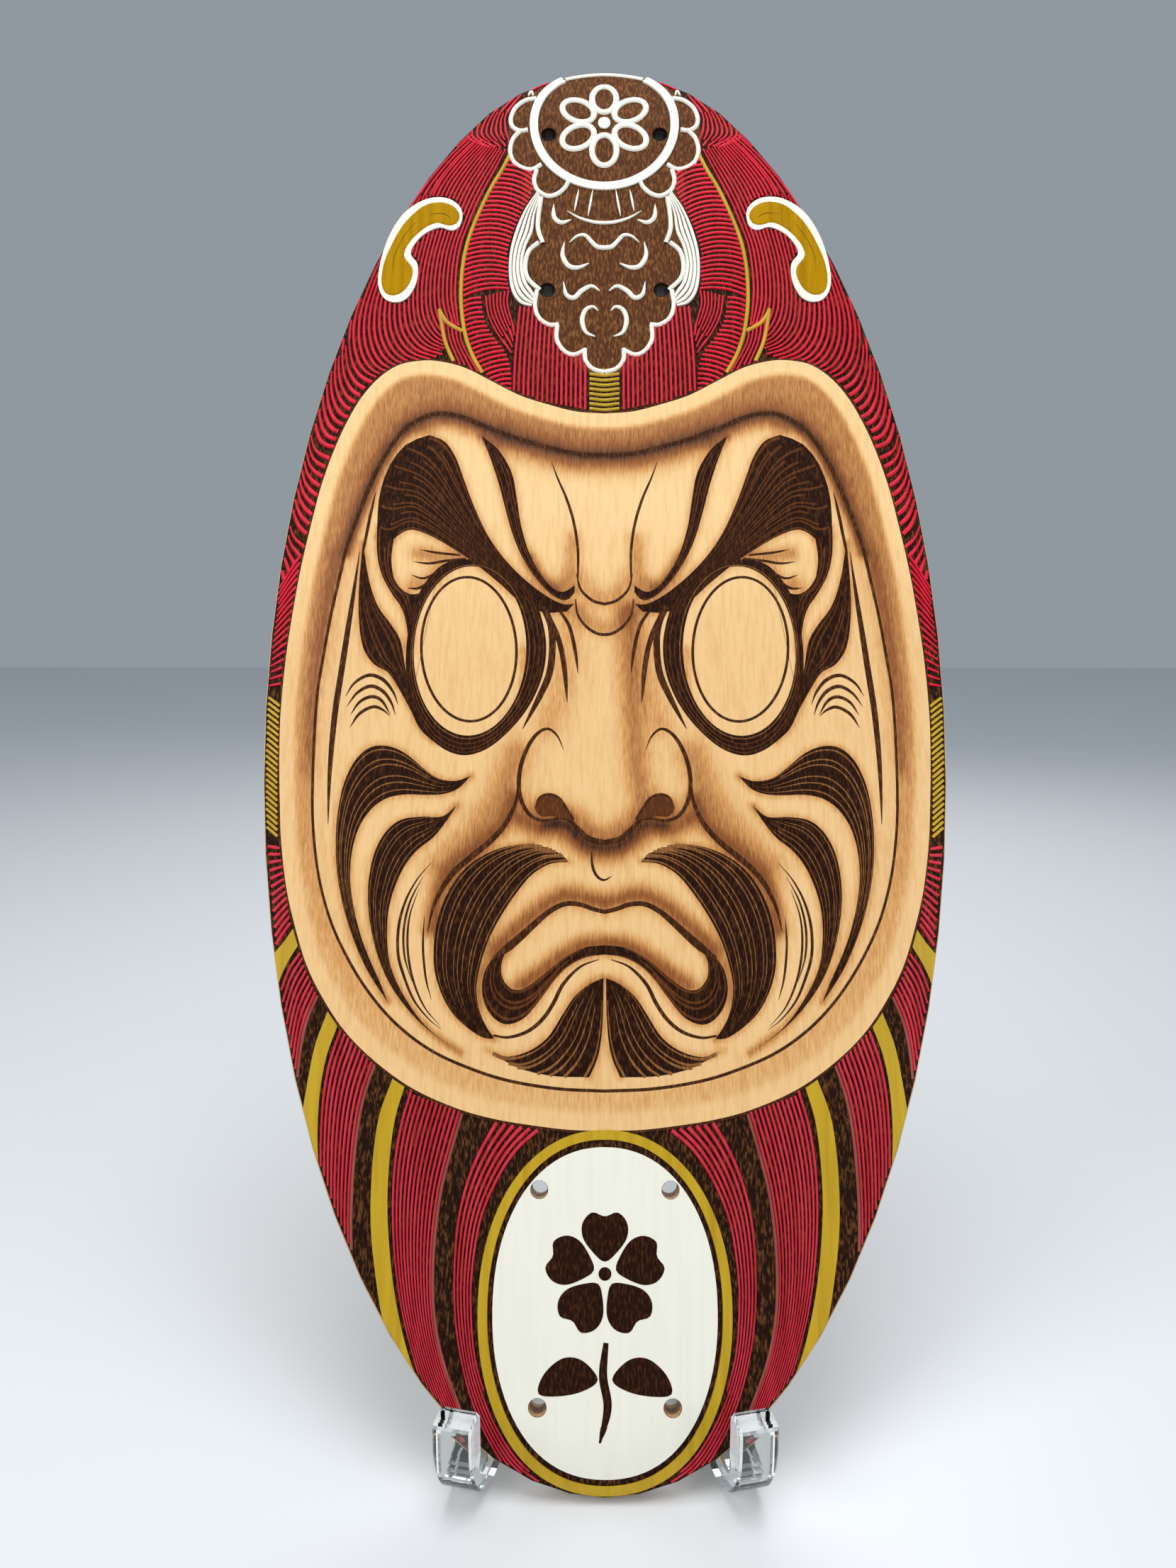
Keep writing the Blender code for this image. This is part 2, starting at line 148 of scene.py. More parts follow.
def ellipse(middle, across, along, turn=0.0, steps=72, fullness=2.0):
    angle = np.linspace(0, 2 * np.pi, steps, endpoint=False)
    x = across * np.sign(np.cos(angle)) * np.abs(np.cos(angle)) ** (2 / fullness)
    y = along * np.sign(np.sin(angle)) * np.abs(np.sin(angle)) ** (2 / fullness)
    c, s = math.cos(turn), math.sin(turn)
    return np.stack([middle[0] + c * x - s * y, middle[1] + s * x + c * y], -1)


def mirrored(path):
    return np.asarray(path, float) * (-1, 1)


def both(path):
    """A path and its mirror image."""
    return path, mirrored(path)


def whole(left_half):
    """A closed outline from its left half, which runs from the axis round to the axis."""
    left = curve(left_half)
    return np.vstack([left, mirrored(left[1:-1])[::-1]])


def inside(points, polygon):
    """Which of the points lie in the polygon."""
    points = np.asarray(points, float)
    found = np.zeros(len(points), bool)
    for a, b in zip(polygon, np.roll(polygon, -1, axis=0)):
        if a[1] == b[1]:
            continue
        crosses = (a[1] > points[:, 1]) != (b[1] > points[:, 1])
        at = a[0] + (points[:, 1] - a[1]) * (b[0] - a[0]) / (b[1] - a[1])
        found ^= crosses & (points[:, 0] < at)
    return found


def distance(points, path):
    """Distance of each point to a path."""
    best = np.full(len(points), 1e9)
    for a, b in zip(path, path[1:]):
        d = b - a
        share = np.clip(((points - a) @ d) / max(d @ d, 1e-9), 0, 1)
        best = np.minimum(best, np.linalg.norm(points - a - share[:, None] * d, axis=1))
    return best


def between(edge_a, edge_b, share, start=None, count=60):
    """A path at this share of the way from one edge to the other, fanning out of a start curve."""
    a, b = resample(edge_a, count), resample(edge_b, count)
    path = a + (b - a) * share
    if start is not None:
        place = resample(start, 101)[int(round(share * 100))]
        fade = np.linspace(1, 0, count)[:, None] ** 2
        path = path + (place - path[0]) * fade
    return path


def spacing(edge_a, edge_b, count=60):
    return np.linalg.norm(resample(edge_a, count) - resample(edge_b, count), axis=1)


# ---------------------------------------------------------------- relief


# How far the paint stands off the wood; its sides end at the skirt, just under the surface.
SKIRT = -0.06
SEAM_LIFT = 0.2
BAND_LIFT = 0.25
OVAL_LIFT = 0.4
RIB_LIFT = 0.42
RING_LIFT = 0.5
BRUSH_LIFT = 0.55
EDGE_LIFT = 0.6

# Cross-sections of a strip: place across it, from -1 to 1, and share of its lift.
ROUNDED = ((-1.0, None), (-0.72, 0.85), (0.0, 1.0), (0.72, 0.85), (1.0, None))
FLAT = ((-1.0, None), (-0.94, 1.0), (0.0, 1.0), (0.94, 1.0), (1.0, None))


class Relief:
    """Collects strips and plates on the face, in millimetres, into one object."""

    def __init__(self, floor=SKIRT):
        self.floor = floor
        self.uvw = []
        self.faces = []
        self.count = 0

    def grid(self, u, v, w, wrap=False):
        """A mesh of rows and columns; wrap joins the last row to the first."""
        rows, columns = u.shape
        self.uvw.append(np.stack([u, v, w], -1).reshape(-1, 3))
        last = rows if wrap else rows - 1
        for row in range(last):
            here = self.count + row * columns
            after = self.count + ((row + 1) % rows) * columns
            for column in range(columns - 1):
                right = column + 1
                self.faces.append((here + column, after + column, after + right, here + right))
        self.count += rows * columns

    def strip(self, path, width, lift, closed=False, profile=ROUNDED):
        """A rounded raised line; width is a number or one value for each point."""
        path = np.asarray(path, float)
        if len(path) < 2:
            return
        if closed:
            tangent = np.roll(path, -1, axis=0) - np.roll(path, 1, axis=0)
        else:
            tangent = np.gradient(path, axis=0)
        tangent /= np.maximum(np.linalg.norm(tangent, axis=1, keepdims=True), 1e-9)
        normal = np.stack([-tangent[:, 1], tangent[:, 0]], -1)
        half = np.broadcast_to(np.asarray(width, float) / 2, len(path))
        u, v, w = [], [], []
        for side, height in profile:
            place = path + normal * (side * half)[:, None]
            u.append(place[:, 0])
            v.append(place[:, 1])
            w.append(np.full(len(path), self.floor if height is None else lift * height))
        self.grid(np.stack(u, 1), np.stack(v, 1), np.stack(w, 1), wrap=closed)

    def stroke(self, path, width, lift, tips=(0.12, 0.12)):
        """A brush line that swells from thin tips to its full width."""
        path = np.asarray(path, float)
        share = np.linspace(0, 1, len(path))
        swell = 1 - (1 - tips[0]) * np.clip(1 - share / 0.45, 0, 1) ** 2
        swell = swell * (1 - (1 - tips[1]) * np.clip(1 - (1 - share) / 0.45, 0, 1) ** 2)
        self.strip(path, width * swell, lift)

    def stroke_pair(self, points, step, width, lift, tips):
        """A stroke on both halves, joined into one where it ends on the axis."""
        path = curve(points, step=step)
        if points[-1][0] == 0:
            joined = np.vstack([path, mirrored(path[:-1])[::-1]])
            self.stroke(joined, width, lift, (tips[0], tips[0]))
        else:
            for side in both(path):
                self.stroke(side, width, lift, tips)

    def patch(self, edge_a, edge_b, lift, start=None, columns=10):
        """A smooth sheet between two edges."""
        count = max(8, int(max(length(edge_a), length(edge_b)) / 1.5))
        shares = np.linspace(0, 1, columns + 1)
        lines = np.stack([between(edge_a, edge_b, s, start, count) for s in shares], 1)
        self.grid(lines[..., 0], lines[..., 1], np.full(lines.shape[:2], float(lift)))

    def plate(self, border, lift, holes=(), pitch=4.0):
        """A flat-topped panel inside a border, with its edge carried down to the wood."""
        border = np.asarray(border, float)
        rings = [border] + [np.asarray(hole, float) for hole in holes]
        low, high = border.min(0), border.max(0)
        us = np.arange(low[0] + pitch / 2, high[0], pitch)
        vs = np.arange(low[1] + pitch / 2, high[1], pitch)
        field = np.stack(np.meshgrid(us, vs), -1).reshape(-1, 2)
        keep = inside(field, border)
        keep &= distance(field, np.vstack([border, border[:1]])) > pitch * 0.3
        for hole in rings[1:]:
            keep &= ~inside(field, hole)
            keep &= distance(field, np.vstack([hole, hole[:1]])) > pitch * 0.2
        points, edges = [], []
        for ring in rings:
            first = len(points)
            points += [Vector(p) for p in ring]
            edges += [(first + i, first + (i + 1) % len(ring)) for i in range(len(ring))]
        points += [Vector(p) for p in field[keep]]
        made = delaunay_2d_cdt(points, edges, [], 0, 1e-5)
        flat = np.array([tuple(p) for p in made[0]])
        triangles = np.array(made[2])
        centres = flat[triangles].mean(1)
        good = inside(centres, border)
        for hole in rings[1:]:
            good &= ~inside(centres, hole)
        self.uvw.append(np.column_stack([flat, np.full(len(flat), float(lift))]))
        self.faces += [tuple(self.count + int(i) for i in face) for face in triangles[good]]
        self.count += len(flat)
        for ring in rings:
            closed = np.stack([ring, ring], 1)
            heights = np.tile([float(lift), self.floor], (len(ring), 1))
            self.grid(closed[..., 0], closed[..., 1], heights, wrap=True)

    def build(self, name, finish, burn=None):
        """Makes the object; burn gives the burn attribute at each point of the face."""
        uvw = np.vstack(self.uvw)
        places = on_deck(uvw[:, 0], uvw[:, 1], uvw[:, 2])
        mesh = bpy.data.meshes.new(name)
        mesh.from_pydata(places.tolist(), [], self.faces)
        mesh.update()
        mesh.shade_smooth()
        mesh.set_sharp_from_angle(angle=math.radians(60))
        mesh.materials.append(finish)
        if burn is not None:
            values = mesh.attributes.new("burn", "FLOAT", "POINT")
            values.data.foreach_set("value", burn(uvw[:, :2]).astype(np.float32))
        made = bpy.data.objects.new(name, mesh)
        bpy.context.scene.collection.objects.link(made)
        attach(made, "deck")


def runs(path, width, keep, drop=()):
    """The stretches of a path inside one polygon and outside the others, with their widths."""
    width = np.broadcast_to(np.asarray(width, float), len(path))
    good = inside(path, keep) & (width > 0)
    for polygon in drop:
        good &= ~inside(path, polygon)
    found, start = [], None
    for index in range(len(path) + 1):
        if index < len(path) and good[index]:
            start = index if start is None else start
        elif start is not None:
            if index - start > 2:
                found.append((path[start:index], width[start:index]))
            start = None
    return found


# ---------------------------------------------------------------- materials


def new_material(name):
    made = bpy.data.materials.new(name)
    made.use_nodes = True
    return made, made.node_tree.nodes, made.node_tree.links


def node(nodes, kind, inputs=(), **settings):
    made = nodes.new(kind)
    for key, value in settings.items():
        setattr(made, key, value)
    for key, value in dict(inputs).items():
        made.inputs[key].default_value = value
    return made


def grain(nodes, links, stretch, scale, detail=3.0):
    """Noise drawn out along the board, from places measured in the deck's own directions."""
    place = node(nodes, "ShaderNodeTexCoord")
    turn = node(nodes, "ShaderNodeMapping", {"Rotation": (LEAN, 0, 0)}, vector_type="POINT")
    size = node(nodes, "ShaderNodeMapping", {"Scale": stretch}, vector_type="POINT")
    noise = node(nodes, "ShaderNodeTexNoise", {"Scale": scale, "Detail": detail})
    links.new(place.outputs["Object"], turn.inputs["Vector"])
    links.new(turn.outputs["Vector"], size.inputs["Vector"])
    links.new(size.outputs["Vector"], noise.inputs["Vector"])
    return noise.outputs["Fac"]


def ramp(nodes, links, source, stops):
    made = node(nodes, "ShaderNodeValToRGB")
    band = made.color_ramp
    while len(band.elements) < len(stops):
        band.elements.new(0.5)
    for element, (place, colour) in zip(band.elements, stops):
        element.position = place
        element.color = (*colour, 1.0)
    links.new(source, made.inputs["Fac"])
    return made.outputs["Color"]


def roughen(nodes, links, source, low, high):
    spread = node(nodes, "ShaderNodeMapRange", {"To Min": low, "To Max": high})
    links.new(source, spread.inputs["Value"])
    links.new(spread.outputs["Result"], nodes["Principled BSDF"].inputs["Roughness"])


def bump(nodes, links, source, depth, strength=0.6):
    made = node(nodes, "ShaderNodeBump", {"Strength": strength, "Distance": depth * MM})
    links.new(source, made.inputs["Height"])
    links.new(made.outputs["Normal"], nodes["Principled BSDF"].inputs["Normal"])


# How far each kind of grain is drawn out along the board.
VEIN = (1.0, 1.0, 0.06)
STREAK = (1.0, 1.0, 0.13)
FLECK = (1.0, 1.0, 0.28)
# The lighter burn behind the crest and the tassel: its colours, and where its ovals are and reach to.
BROWN = [(0.0, (0.055, 0.017, 0.005)), (0.46, (0.075, 0.024, 0.007)), (0.74, (0.24, 0.10, 0.032))]
BROWN_OVALS = ((190, 30, 68), (219, 36, 29))


def burnt_wood(name, dark, light, edge=None):
    """Laser-burnt maple: near black, with short pale flecks along the grain."""
    made, nodes, links = new_material(name)
    flecks = grain(nodes, links, FLECK, 1500.0, 2.0)
    colour = ramp(nodes, links, flecks, [(0.0, dark), (0.48, dark), (0.76, light)])
    shader = nodes["Principled BSDF"]
    shader.inputs["Specular IOR Level"].default_value = 0.06
    if edge is None:
        links.new(colour, shader.inputs["Base Color"])
    else:
        toasted = brown_ground(nodes, links, colour, flecks)
        whole_colour = with_bare_edge(nodes, links, toasted, edge)
        links.new(shade_nose_holes(nodes, links, whole_colour), shader.inputs["Base Color"])
    roughen(nodes, links, flecks, 0.45, 0.75)
    bump(nodes, links, flecks, 0.2)
    return made


def deck_place(nodes, links, middle):
    """Place on the deck in metres: x across, z along, from the given place along it."""
    place = node(nodes, "ShaderNodeTexCoord")
    turn = node(nodes, "ShaderNodeMapping", {"Rotation": (LEAN, 0, 0)}, vector_type="POINT")
    flat = node(nodes, "ShaderNodeVectorMath", operation="MULTIPLY_ADD")
    links.new(place.outputs["Object"], turn.inputs["Vector"])
    links.new(turn.outputs["Vector"], flat.inputs[0])
    flat.inputs[1].default_value = (1, 0, 1)
    flat.inputs[2].default_value = (0, 0, -DECK_MIDDLE.dot(ALONG) - middle * MM)
    return flat.outputs["Vector"]


def brown_ground(nodes, links, colour, flecks):
    """The lighter burn behind the crest and the tassel, inside two ovals."""
    reaches = []
    for middle, across, along in BROWN_OVALS:
        scaled = node(nodes, "ShaderNodeVectorMath", operation="DIVIDE")
        size = node(nodes, "ShaderNodeVectorMath", operation="LENGTH")
        links.new(deck_place(nodes, links, middle), scaled.inputs[0])
        scaled.inputs[1].default_value = (across * MM, 1, along * MM)
        links.new(scaled.outputs["Vector"], size.inputs[0])
        reaches.append(size.outputs["Value"])
    nearer = node(nodes, "ShaderNodeMath", operation="MINIMUM")
    links.new(reaches[0], nearer.inputs[0])
    links.new(reaches[1], nearer.inputs[1])
    within = node(nodes, "ShaderNodeMapRange", {"From Min": 1.01, "From Max": 0.98})
    links.new(nearer.outputs[0], within.inputs["Value"])
    mix = node(nodes, "ShaderNodeMix", data_type="RGBA")
    links.new(within.outputs["Result"], mix.inputs["Factor"])
    links.new(colour, mix.inputs["A"])
    links.new(ramp(nodes, links, flecks, BROWN), mix.inputs["B"])
    return mix.outputs["Result"]


def shade_nose_holes(nodes, links, colour):
    """Painted shade: blackens the walls of the four bolt holes at the nose end."""
    unsigned = node(nodes, "ShaderNodeVectorMath", operation="ABSOLUTE")
    offset = node(nodes, "ShaderNodeVectorMath", operation="SUBTRACT")
    size = node(nodes, "ShaderNodeVectorMath", operation="LENGTH")
    links.new(deck_place(nodes, links, HOLE_ROWS_MIDDLE), unsigned.inputs[0])
    links.new(unsigned.outputs["Vector"], offset.inputs[0])
    offset.inputs[1].default_value = (HOLE_ACROSS * MM, 0, HOLE_ROWS_APART / 2 * MM)
    links.new(offset.outputs["Vector"], size.inputs[0])
    reach = {"From Min": (HOLE_RADIUS + 0.25) * MM, "From Max": (HOLE_RADIUS + 0.1) * MM}
    near = node(nodes, "ShaderNodeMapRange", reach)
    links.new(size.outputs["Value"], near.inputs["Value"])
    mix = node(nodes, "ShaderNodeMix", data_type="RGBA")
    # Near-black painted shade in the hole walls.
    mix.inputs["B"].default_value = (0.02, 0.007, 0.003, 1.0)
    links.new(near.outputs["Result"], mix.inputs["Factor"])
    links.new(colour, mix.inputs["A"])
    return mix.outputs["Result"]


def with_bare_edge(nodes, links, front_colour, edge_stops):
    """The front colour where the wood faces forwards, and bare veneer on its edges and back."""
    side = node(nodes, "ShaderNodeTexCoord")
    facing = node(nodes, "ShaderNodeVectorMath", operation="DOT_PRODUCT")
    facing.inputs[1].default_value = OUT
    links.new(side.outputs["Normal"], facing.inputs[0])
    step = node(nodes, "ShaderNodeMapRange", {"From Min": 0.55, "From Max": 0.7})
    links.new(facing.outputs["Value"], step.inputs["Value"])
    bare = ramp(nodes, links, grain(nodes, links, VEIN, 260.0), edge_stops)
    mix = node(nodes, "ShaderNodeMix", data_type="RGBA")
    links.new(step.outputs["Result"], mix.inputs["Factor"])
    links.new(bare, mix.inputs["A"])
    links.new(front_colour, mix.inputs["B"])
    return mix.outputs["Result"]


def paint(name, colour, shade, rough, depth=0.12, gloss=0.25):
    """Brushed-on paint that lets the grain show through as tone and texture."""
    made, nodes, links = new_material(name)
    veins = grain(nodes, links, VEIN, 420.0)
    links.new(
        ramp(nodes, links, veins, [(0.25, shade), (0.62, colour)]),
        nodes["Principled BSDF"].inputs["Base Color"],
    )
    nodes["Principled BSDF"].inputs["Specular IOR Level"].default_value = gloss
    roughen(nodes, links, veins, rough - 0.08, rough + 0.14)
    bump(nodes, links, veins, depth)
    return made


def maple(name, pale, deep, burnt):
    """Maple whose burn attribute, burnt tone with some painted shade, runs from pale through toasted to
    black, broken up by the grain.
    """
    made, nodes, links = new_material(name)
    veins = grain(nodes, links, STREAK, 760.0)
    fine = grain(nodes, links, STREAK, 2000.0, 2.0)
    wood = ramp(nodes, links, veins, [(0.3, deep), (0.56, pale)])
    burn = node(nodes, "ShaderNodeAttribute", attribute_name="burn")
    ragged = node(nodes, "ShaderNodeMath", operation="MULTIPLY_ADD")
    links.new(fine, ragged.inputs[0])
    ragged.inputs[1].default_value = 0.30
    ragged.inputs[2].default_value = -0.15
    worn = node(nodes, "ShaderNodeMath", operation="MULTIPLY")
    links.new(ragged.outputs[0], worn.inputs[0])
    rising = node(nodes, "ShaderNodeMapRange", {"From Max": 0.25, "To Max": 1.6})
    links.new(burn.outputs["Fac"], rising.inputs["Value"])
    links.new(rising.outputs["Result"], worn.inputs[1])
    total = node(nodes, "ShaderNodeMath", operation="ADD", use_clamp=True)
    links.new(burn.outputs["Fac"], total.inputs[0])
    links.new(worn.outputs[0], total.inputs[1])
    tint = ramp(nodes, links, total.outputs[0], burnt)
    mix = node(nodes, "ShaderNodeMix", data_type="RGBA", blend_type="MULTIPLY")
    mix.inputs["Factor"].default_value = 1.0
    links.new(wood, mix.inputs["A"])
    links.new(tint, mix.inputs["B"])
    links.new(mix.outputs["Result"], nodes["Principled BSDF"].inputs["Base Color"])
    nodes["Principled BSDF"].inputs["Specular IOR Level"].default_value = 0.22
    roughen(nodes, links, fine, 0.38, 0.6)
    bump(nodes, links, fine, 0.08)
    return made


def bare_maple(name, pale, deep):
    made, nodes, links = new_material(name)
    veins = grain(nodes, links, VEIN, 260.0)
    colour = ramp(nodes, links, veins, [(0.3, deep), (0.6, pale)])
    links.new(shade_nose_holes(nodes, links, colour), nodes["Principled BSDF"].inputs["Base Color"])
    roughen(nodes, links, veins, 0.35, 0.6)
    bump(nodes, links, veins, 0.1)
    return made


def acrylic(name):
    """Clear acrylic with faint handling marks."""
    made, nodes, links = new_material(name)
    shader = nodes["Principled BSDF"]
    shader.inputs["Base Color"].default_value = (0.95, 0.98, 0.97, 1.0)
    shader.inputs["Transmission Weight"].default_value = 1.0
    shader.inputs["IOR"].default_value = 1.49
    marks = grain(nodes, links, (1.0, 1.0, 1.0), 160.0, 5.0)
    roughen(nodes, links, marks, 0.0, 0.07)
    bump(nodes, links, marks, 0.02, 0.15)
    return made


def steel(name):
    """Nickel-plated steel, brushed along the leaf."""
    made, nodes, links = new_material(name)
    shader = nodes["Principled BSDF"]
    shader.inputs["Metallic"].default_value = 1.0
    lines = grain(nodes, links, (1.0, 1.0, 0.03), 2600.0, 2.0)
    links.new(
        ramp(nodes, links, lines, [(0.3, (0.5, 0.5, 0.48)), (0.7, (0.68, 0.67, 0.64))]),
        shader.inputs["Base Color"],
    )
    roughen(nodes, links, lines, 0.2, 0.42)
    bump(nodes, links, lines, 0.02, 0.4)
    return made


EDGE_MAPLE = [(0.3, (0.42, 0.24, 0.10)), (0.6, (0.62, 0.40, 0.20))]
BURNT = burnt_wood("burnt_maple", (0.013, 0.004, 0.0015), (0.15, 0.058, 0.018), EDGE_MAPLE)
INK = burnt_wood("burnt_line", (0.040, 0.012, 0.004), (0.14, 0.052, 0.017))
HAIR = burnt_wood("burnt_hair", (0.015, 0.004, 0.0015), (0.075, 0.026, 0.008))
RIDGE = burnt_wood("toasted_ridge", (0.088, 0.026, 0.007), (0.15, 0.052, 0.016))
STRAND = burnt_wood("pale_strand", (0.19, 0.074, 0.022), (0.36, 0.17, 0.058))
CRIMSON = paint("crimson_paint", (0.66, 0.008, 0.034), (0.46, 0.003, 0.015), 0.42, gloss=0.18)
# A lighter copy of the crimson paint for the robe: painted sheen, standing in for the brighter light on
# the robe's ribs.
CRIMSON_SHEEN = paint("crimson_painted_sheen", (0.60, 0.028, 0.055), (0.42, 0.010, 0.022), 0.42, gloss=0.18)
GOLD = paint("gold_paint", (0.50, 0.32, 0.014), (0.40, 0.24, 0.007), 0.36)
# A darker copy of the gold paint for the blobs: painted shade for the dimmer upper end of the deck.
GOLD_IN_SHADE = paint("gold_paint_painted_shade", (0.40, 0.215, 0.001), (0.29, 0.14, 0.0005), 0.45, gloss=0.03)
DULL_RED = paint("dull_red_paint", (0.30, 0.080, 0.062), (0.19, 0.046, 0.036), 0.5, gloss=0.05)
WHITE = paint("white_paint", (0.80, 0.78, 0.68), (0.765, 0.74, 0.64), 0.42, depth=0.05)
TAN = maple(
    "toasted_maple",
    (0.82, 0.555, 0.265),
    (0.75, 0.485, 0.215),
    [
        (0.0, (1.0, 1.0, 1.0)),
        (0.3, (0.74, 0.54, 0.36)),
        (0.62, (0.34, 0.165, 0.075)),
        (1.0, (0.035, 0.012, 0.005)),
    ],
)
PALE_PLY = bare_maple("pale_veneer", (0.66, 0.44, 0.235), (0.56, 0.35, 0.17))
DARK_PLY = bare_maple("cross_veneer", (0.52, 0.31, 0.14), (0.36, 0.19, 0.08))
CLEAR = acrylic("clear_acrylic_sheet")
STEEL = steel("brushed_steel_hinge")


# ---------------------------------------------------------------- regions of the artwork

DECK_EDGE = outline(FACE_INSET + 0.15)

FRAME_EDGE = whole([
    (0, 107.5), (-10, 108.3), (-20, 111), (-30, 114.5), (-40, 120), (-50, 125.5), (-60, 128.4),
    (-68, 128.6), (-75, 127), (-82, 122), (-88, 114.5), (-93, 105), (-97, 95), (-101, 82),
    (-104, 68), (-107, 52), (-109.3, 35), (-111, 18), (-111.8, 0), (-111.5, -15), (-110.6, -30),
    (-109.3, -45), (-106.8, -60), (-103.5, -72), (-98.5, -86), (-92, -97.5), (-84, -108),
    (-74, -117), (-62, -125), (-48, -131), (-35, -134.5), (-20, -136.8), (-10, -137.8), (0, -138),
])

INNER_EDGE = [
    (0, 91.5), (-10, 92), (-20, 94.5), (-30, 97.5), (-40, 101.5), (-50, 106), (-57, 107.7),
    (-63, 107), (-70, 103), (-75, 97), (-80, 88), (-84, 78), (-87.5, 68), (-90.5, 58), (-93, 45),
    (-95.2, 33), (-97, 20), (-98.5, 8), (-99, -5), (-99, -20), (-98.5, -35), (-97, -48),
    (-94.5, -60), (-90, -73), (-83, -86), (-75, -97), (-66, -106), (-55, -113.5), (-42, -119),
    (-30, -122.5), (-15, -124.8), (0, -125.5),
]

OVAL_MIDDLE = (0.0, -191.3)
OVAL = ellipse(OVAL_MIDDLE, 34.8, 48.6, steps=96, fullness=2.16)
OVAL_RING = ellipse(OVAL_MIDDLE, 37.9, 52.4, steps=110, fullness=2.12)
OVAL_OUTSIDE = ellipse(OVAL_MIDDLE, 40.4, 55.0, steps=90, fullness=2.1)

CREST_MIDDLE = (0.0, 223.6)
CREST_RADIUS = 26.2
CREST = ellipse(CREST_MIDDLE, 28.0, 28.0)

SCALLOPS = [
    [(-25.5, 235), (-29.5, 234), (-33.2, 230.5), (-34.8, 226), (-34.2, 222.5), (-31.5, 220.6),
     (-28.4, 221)],
    [(-31.5, 220.3), (-34, 217), (-34.9, 212), (-33.4, 207.6), (-30, 205), (-26.5, 204.5),
     (-23.3, 206.5)],
    [(-25, 204.3), (-25.9, 200), (-24.6, 196), (-21, 193.5), (-17.5, 194.2), (-14.6, 196.8),
     (-13.2, 199.6)],
]

TASSEL_EDGES = [
    [(-23.2, 193), (-24.1, 186), (-24.2, 180), (-22.4, 174.3)],
    [(-24, 174.6), (-27.6, 171), (-28.8, 165), (-27.6, 160), (-23.2, 155.4)],
    [(-24.4, 155.4), (-25.1, 149.5), (-23.6, 144.6), (-20, 141.8), (-16.4, 141.8)],
    [(-17, 141.8), (-17.1, 136), (-14.5, 131.6), (-11, 130), (-6.6, 132)],
    [(-7, 132.4), (-6.8, 128), (-4.2, 124.6), (0, 123.2)],
]

TASSEL = np.vstack([curve(edge) for edge in TASSEL_EDGES])
TASSEL = np.vstack([[(0, 200)], [(-20, 200)], TASSEL])
TASSEL = np.vstack([TASSEL, mirrored(TASSEL)[::-1]])

BLOB_WHITE = curve([
    (-52, 186.5), (-54, 190.5), (-58, 193), (-63, 193.5), (-68, 192), (-73, 188.5), (-77, 183),
    (-80, 176), (-82, 168), (-82.6, 161), (-81.5, 156), (-79, 152.9), (-75, 151.9), (-71.5, 153.5),
    (-69, 157.5), (-67.9, 162), (-68.2, 167), (-70.6, 170.5), (-70.2, 173.5), (-67.5, 177.5),
    (-64, 180), (-60, 181.2), (-56, 179.8), (-53, 181.3),
], closed=True)
BLOB_GOLD = curve([
    (-54, 185.6), (-56, 188.7), (-60, 190.4), (-65, 189.8), (-69, 187), (-73, 182.5),
    (-76.5, 176), (-79.5, 168), (-80.3, 161), (-79, 156.6), (-76, 155.6), (-73, 157.5),
    (-71, 161.5), (-70.9, 165), (-73, 167.8), (-74.2, 171), (-72.5, 175.6), (-69, 179.8),
    (-65, 182.8), (-61, 184), (-57.5, 182.8), (-55, 183),
], closed=True)

HAIR_BUNDLE_OUT = [
    (-24.6, 195.5), (-29, 188.5), (-32.5, 180), (-34.5, 171), (-34.8, 162), (-33.5, 154.5),
    (-30.5, 150), (-26.3, 148.8),
]
HAIR_BUNDLE_IN = [
    (-23.6, 193), (-25.3, 186), (-26, 179), (-28.4, 173), (-29.6, 166), (-28.4, 159.5),
    (-26, 155.5), (-25, 152.5),
]
BUNDLE_COUNT = 4
HAIR_BUNDLE = np.vstack([curve(HAIR_BUNDLE_OUT), curve(HAIR_BUNDLE_IN)[::-1]])

NO_RIBS = [FRAME_EDGE, CREST, TASSEL, OVAL_OUTSIDE]
for closed_shape in [BLOB_WHITE, HAIR_BUNDLE] + [curve(scallop) for scallop in SCALLOPS]:
    NO_RIBS += both(closed_shape)


# ---------------------------------------------------------------- crimson ribs and gold bands

RIB_WIDTHS = (0.35, 1.6)
RIB_FILL = 0.53
ROBE_FILL = 0.58
ROBE_FINEST = 0.45
RIB_EDGE = outline(FACE_INSET + 0.6)


def true_spacing(edge_a, edge_b, points):
    """The distance between two edges at right angles to the lines that run between them."""
    way = np.gradient(between(edge_a, edge_b, 0.5, None, points), axis=0)
    way /= np.maximum(np.linalg.norm(way, axis=1, keepdims=True), 1e-9)
    gap = resample(edge_b, points) - resample(edge_a, points)
    return np.abs(way[:, 0] * gap[:, 1] - way[:, 1] * gap[:, 0])


def ribs(relief, edge_a, edge_b, count, fill=RIB_FILL, finest=1.0, drop=NO_RIBS):
    """Raised ribs that fill the space between two edges, on both halves; some end where it narrows."""
    a, b = curve(edge_a), curve(edge_b)
    points = max(8, int(max(length(a), length(b)) / 1.1))
    pitch = true_spacing(a, b, points) / count
    thinned = 2 ** np.clip(np.ceil(np.log2(finest / np.maximum(pitch, 0.01))), 0, 4)
    width = np.clip(pitch * thinned * fill, *RIB_WIDTHS)
    for index in range(count):
        path = between(a, b, (index + 0.5) / count, None, points)
        shown = np.where(index % thinned == 0, width, 0.0)
        for piece, piece_width in runs(path, shown, RIB_EDGE, drop):
            for side in both(piece):
                relief.strip(side, piece_width, RIB_LIFT)


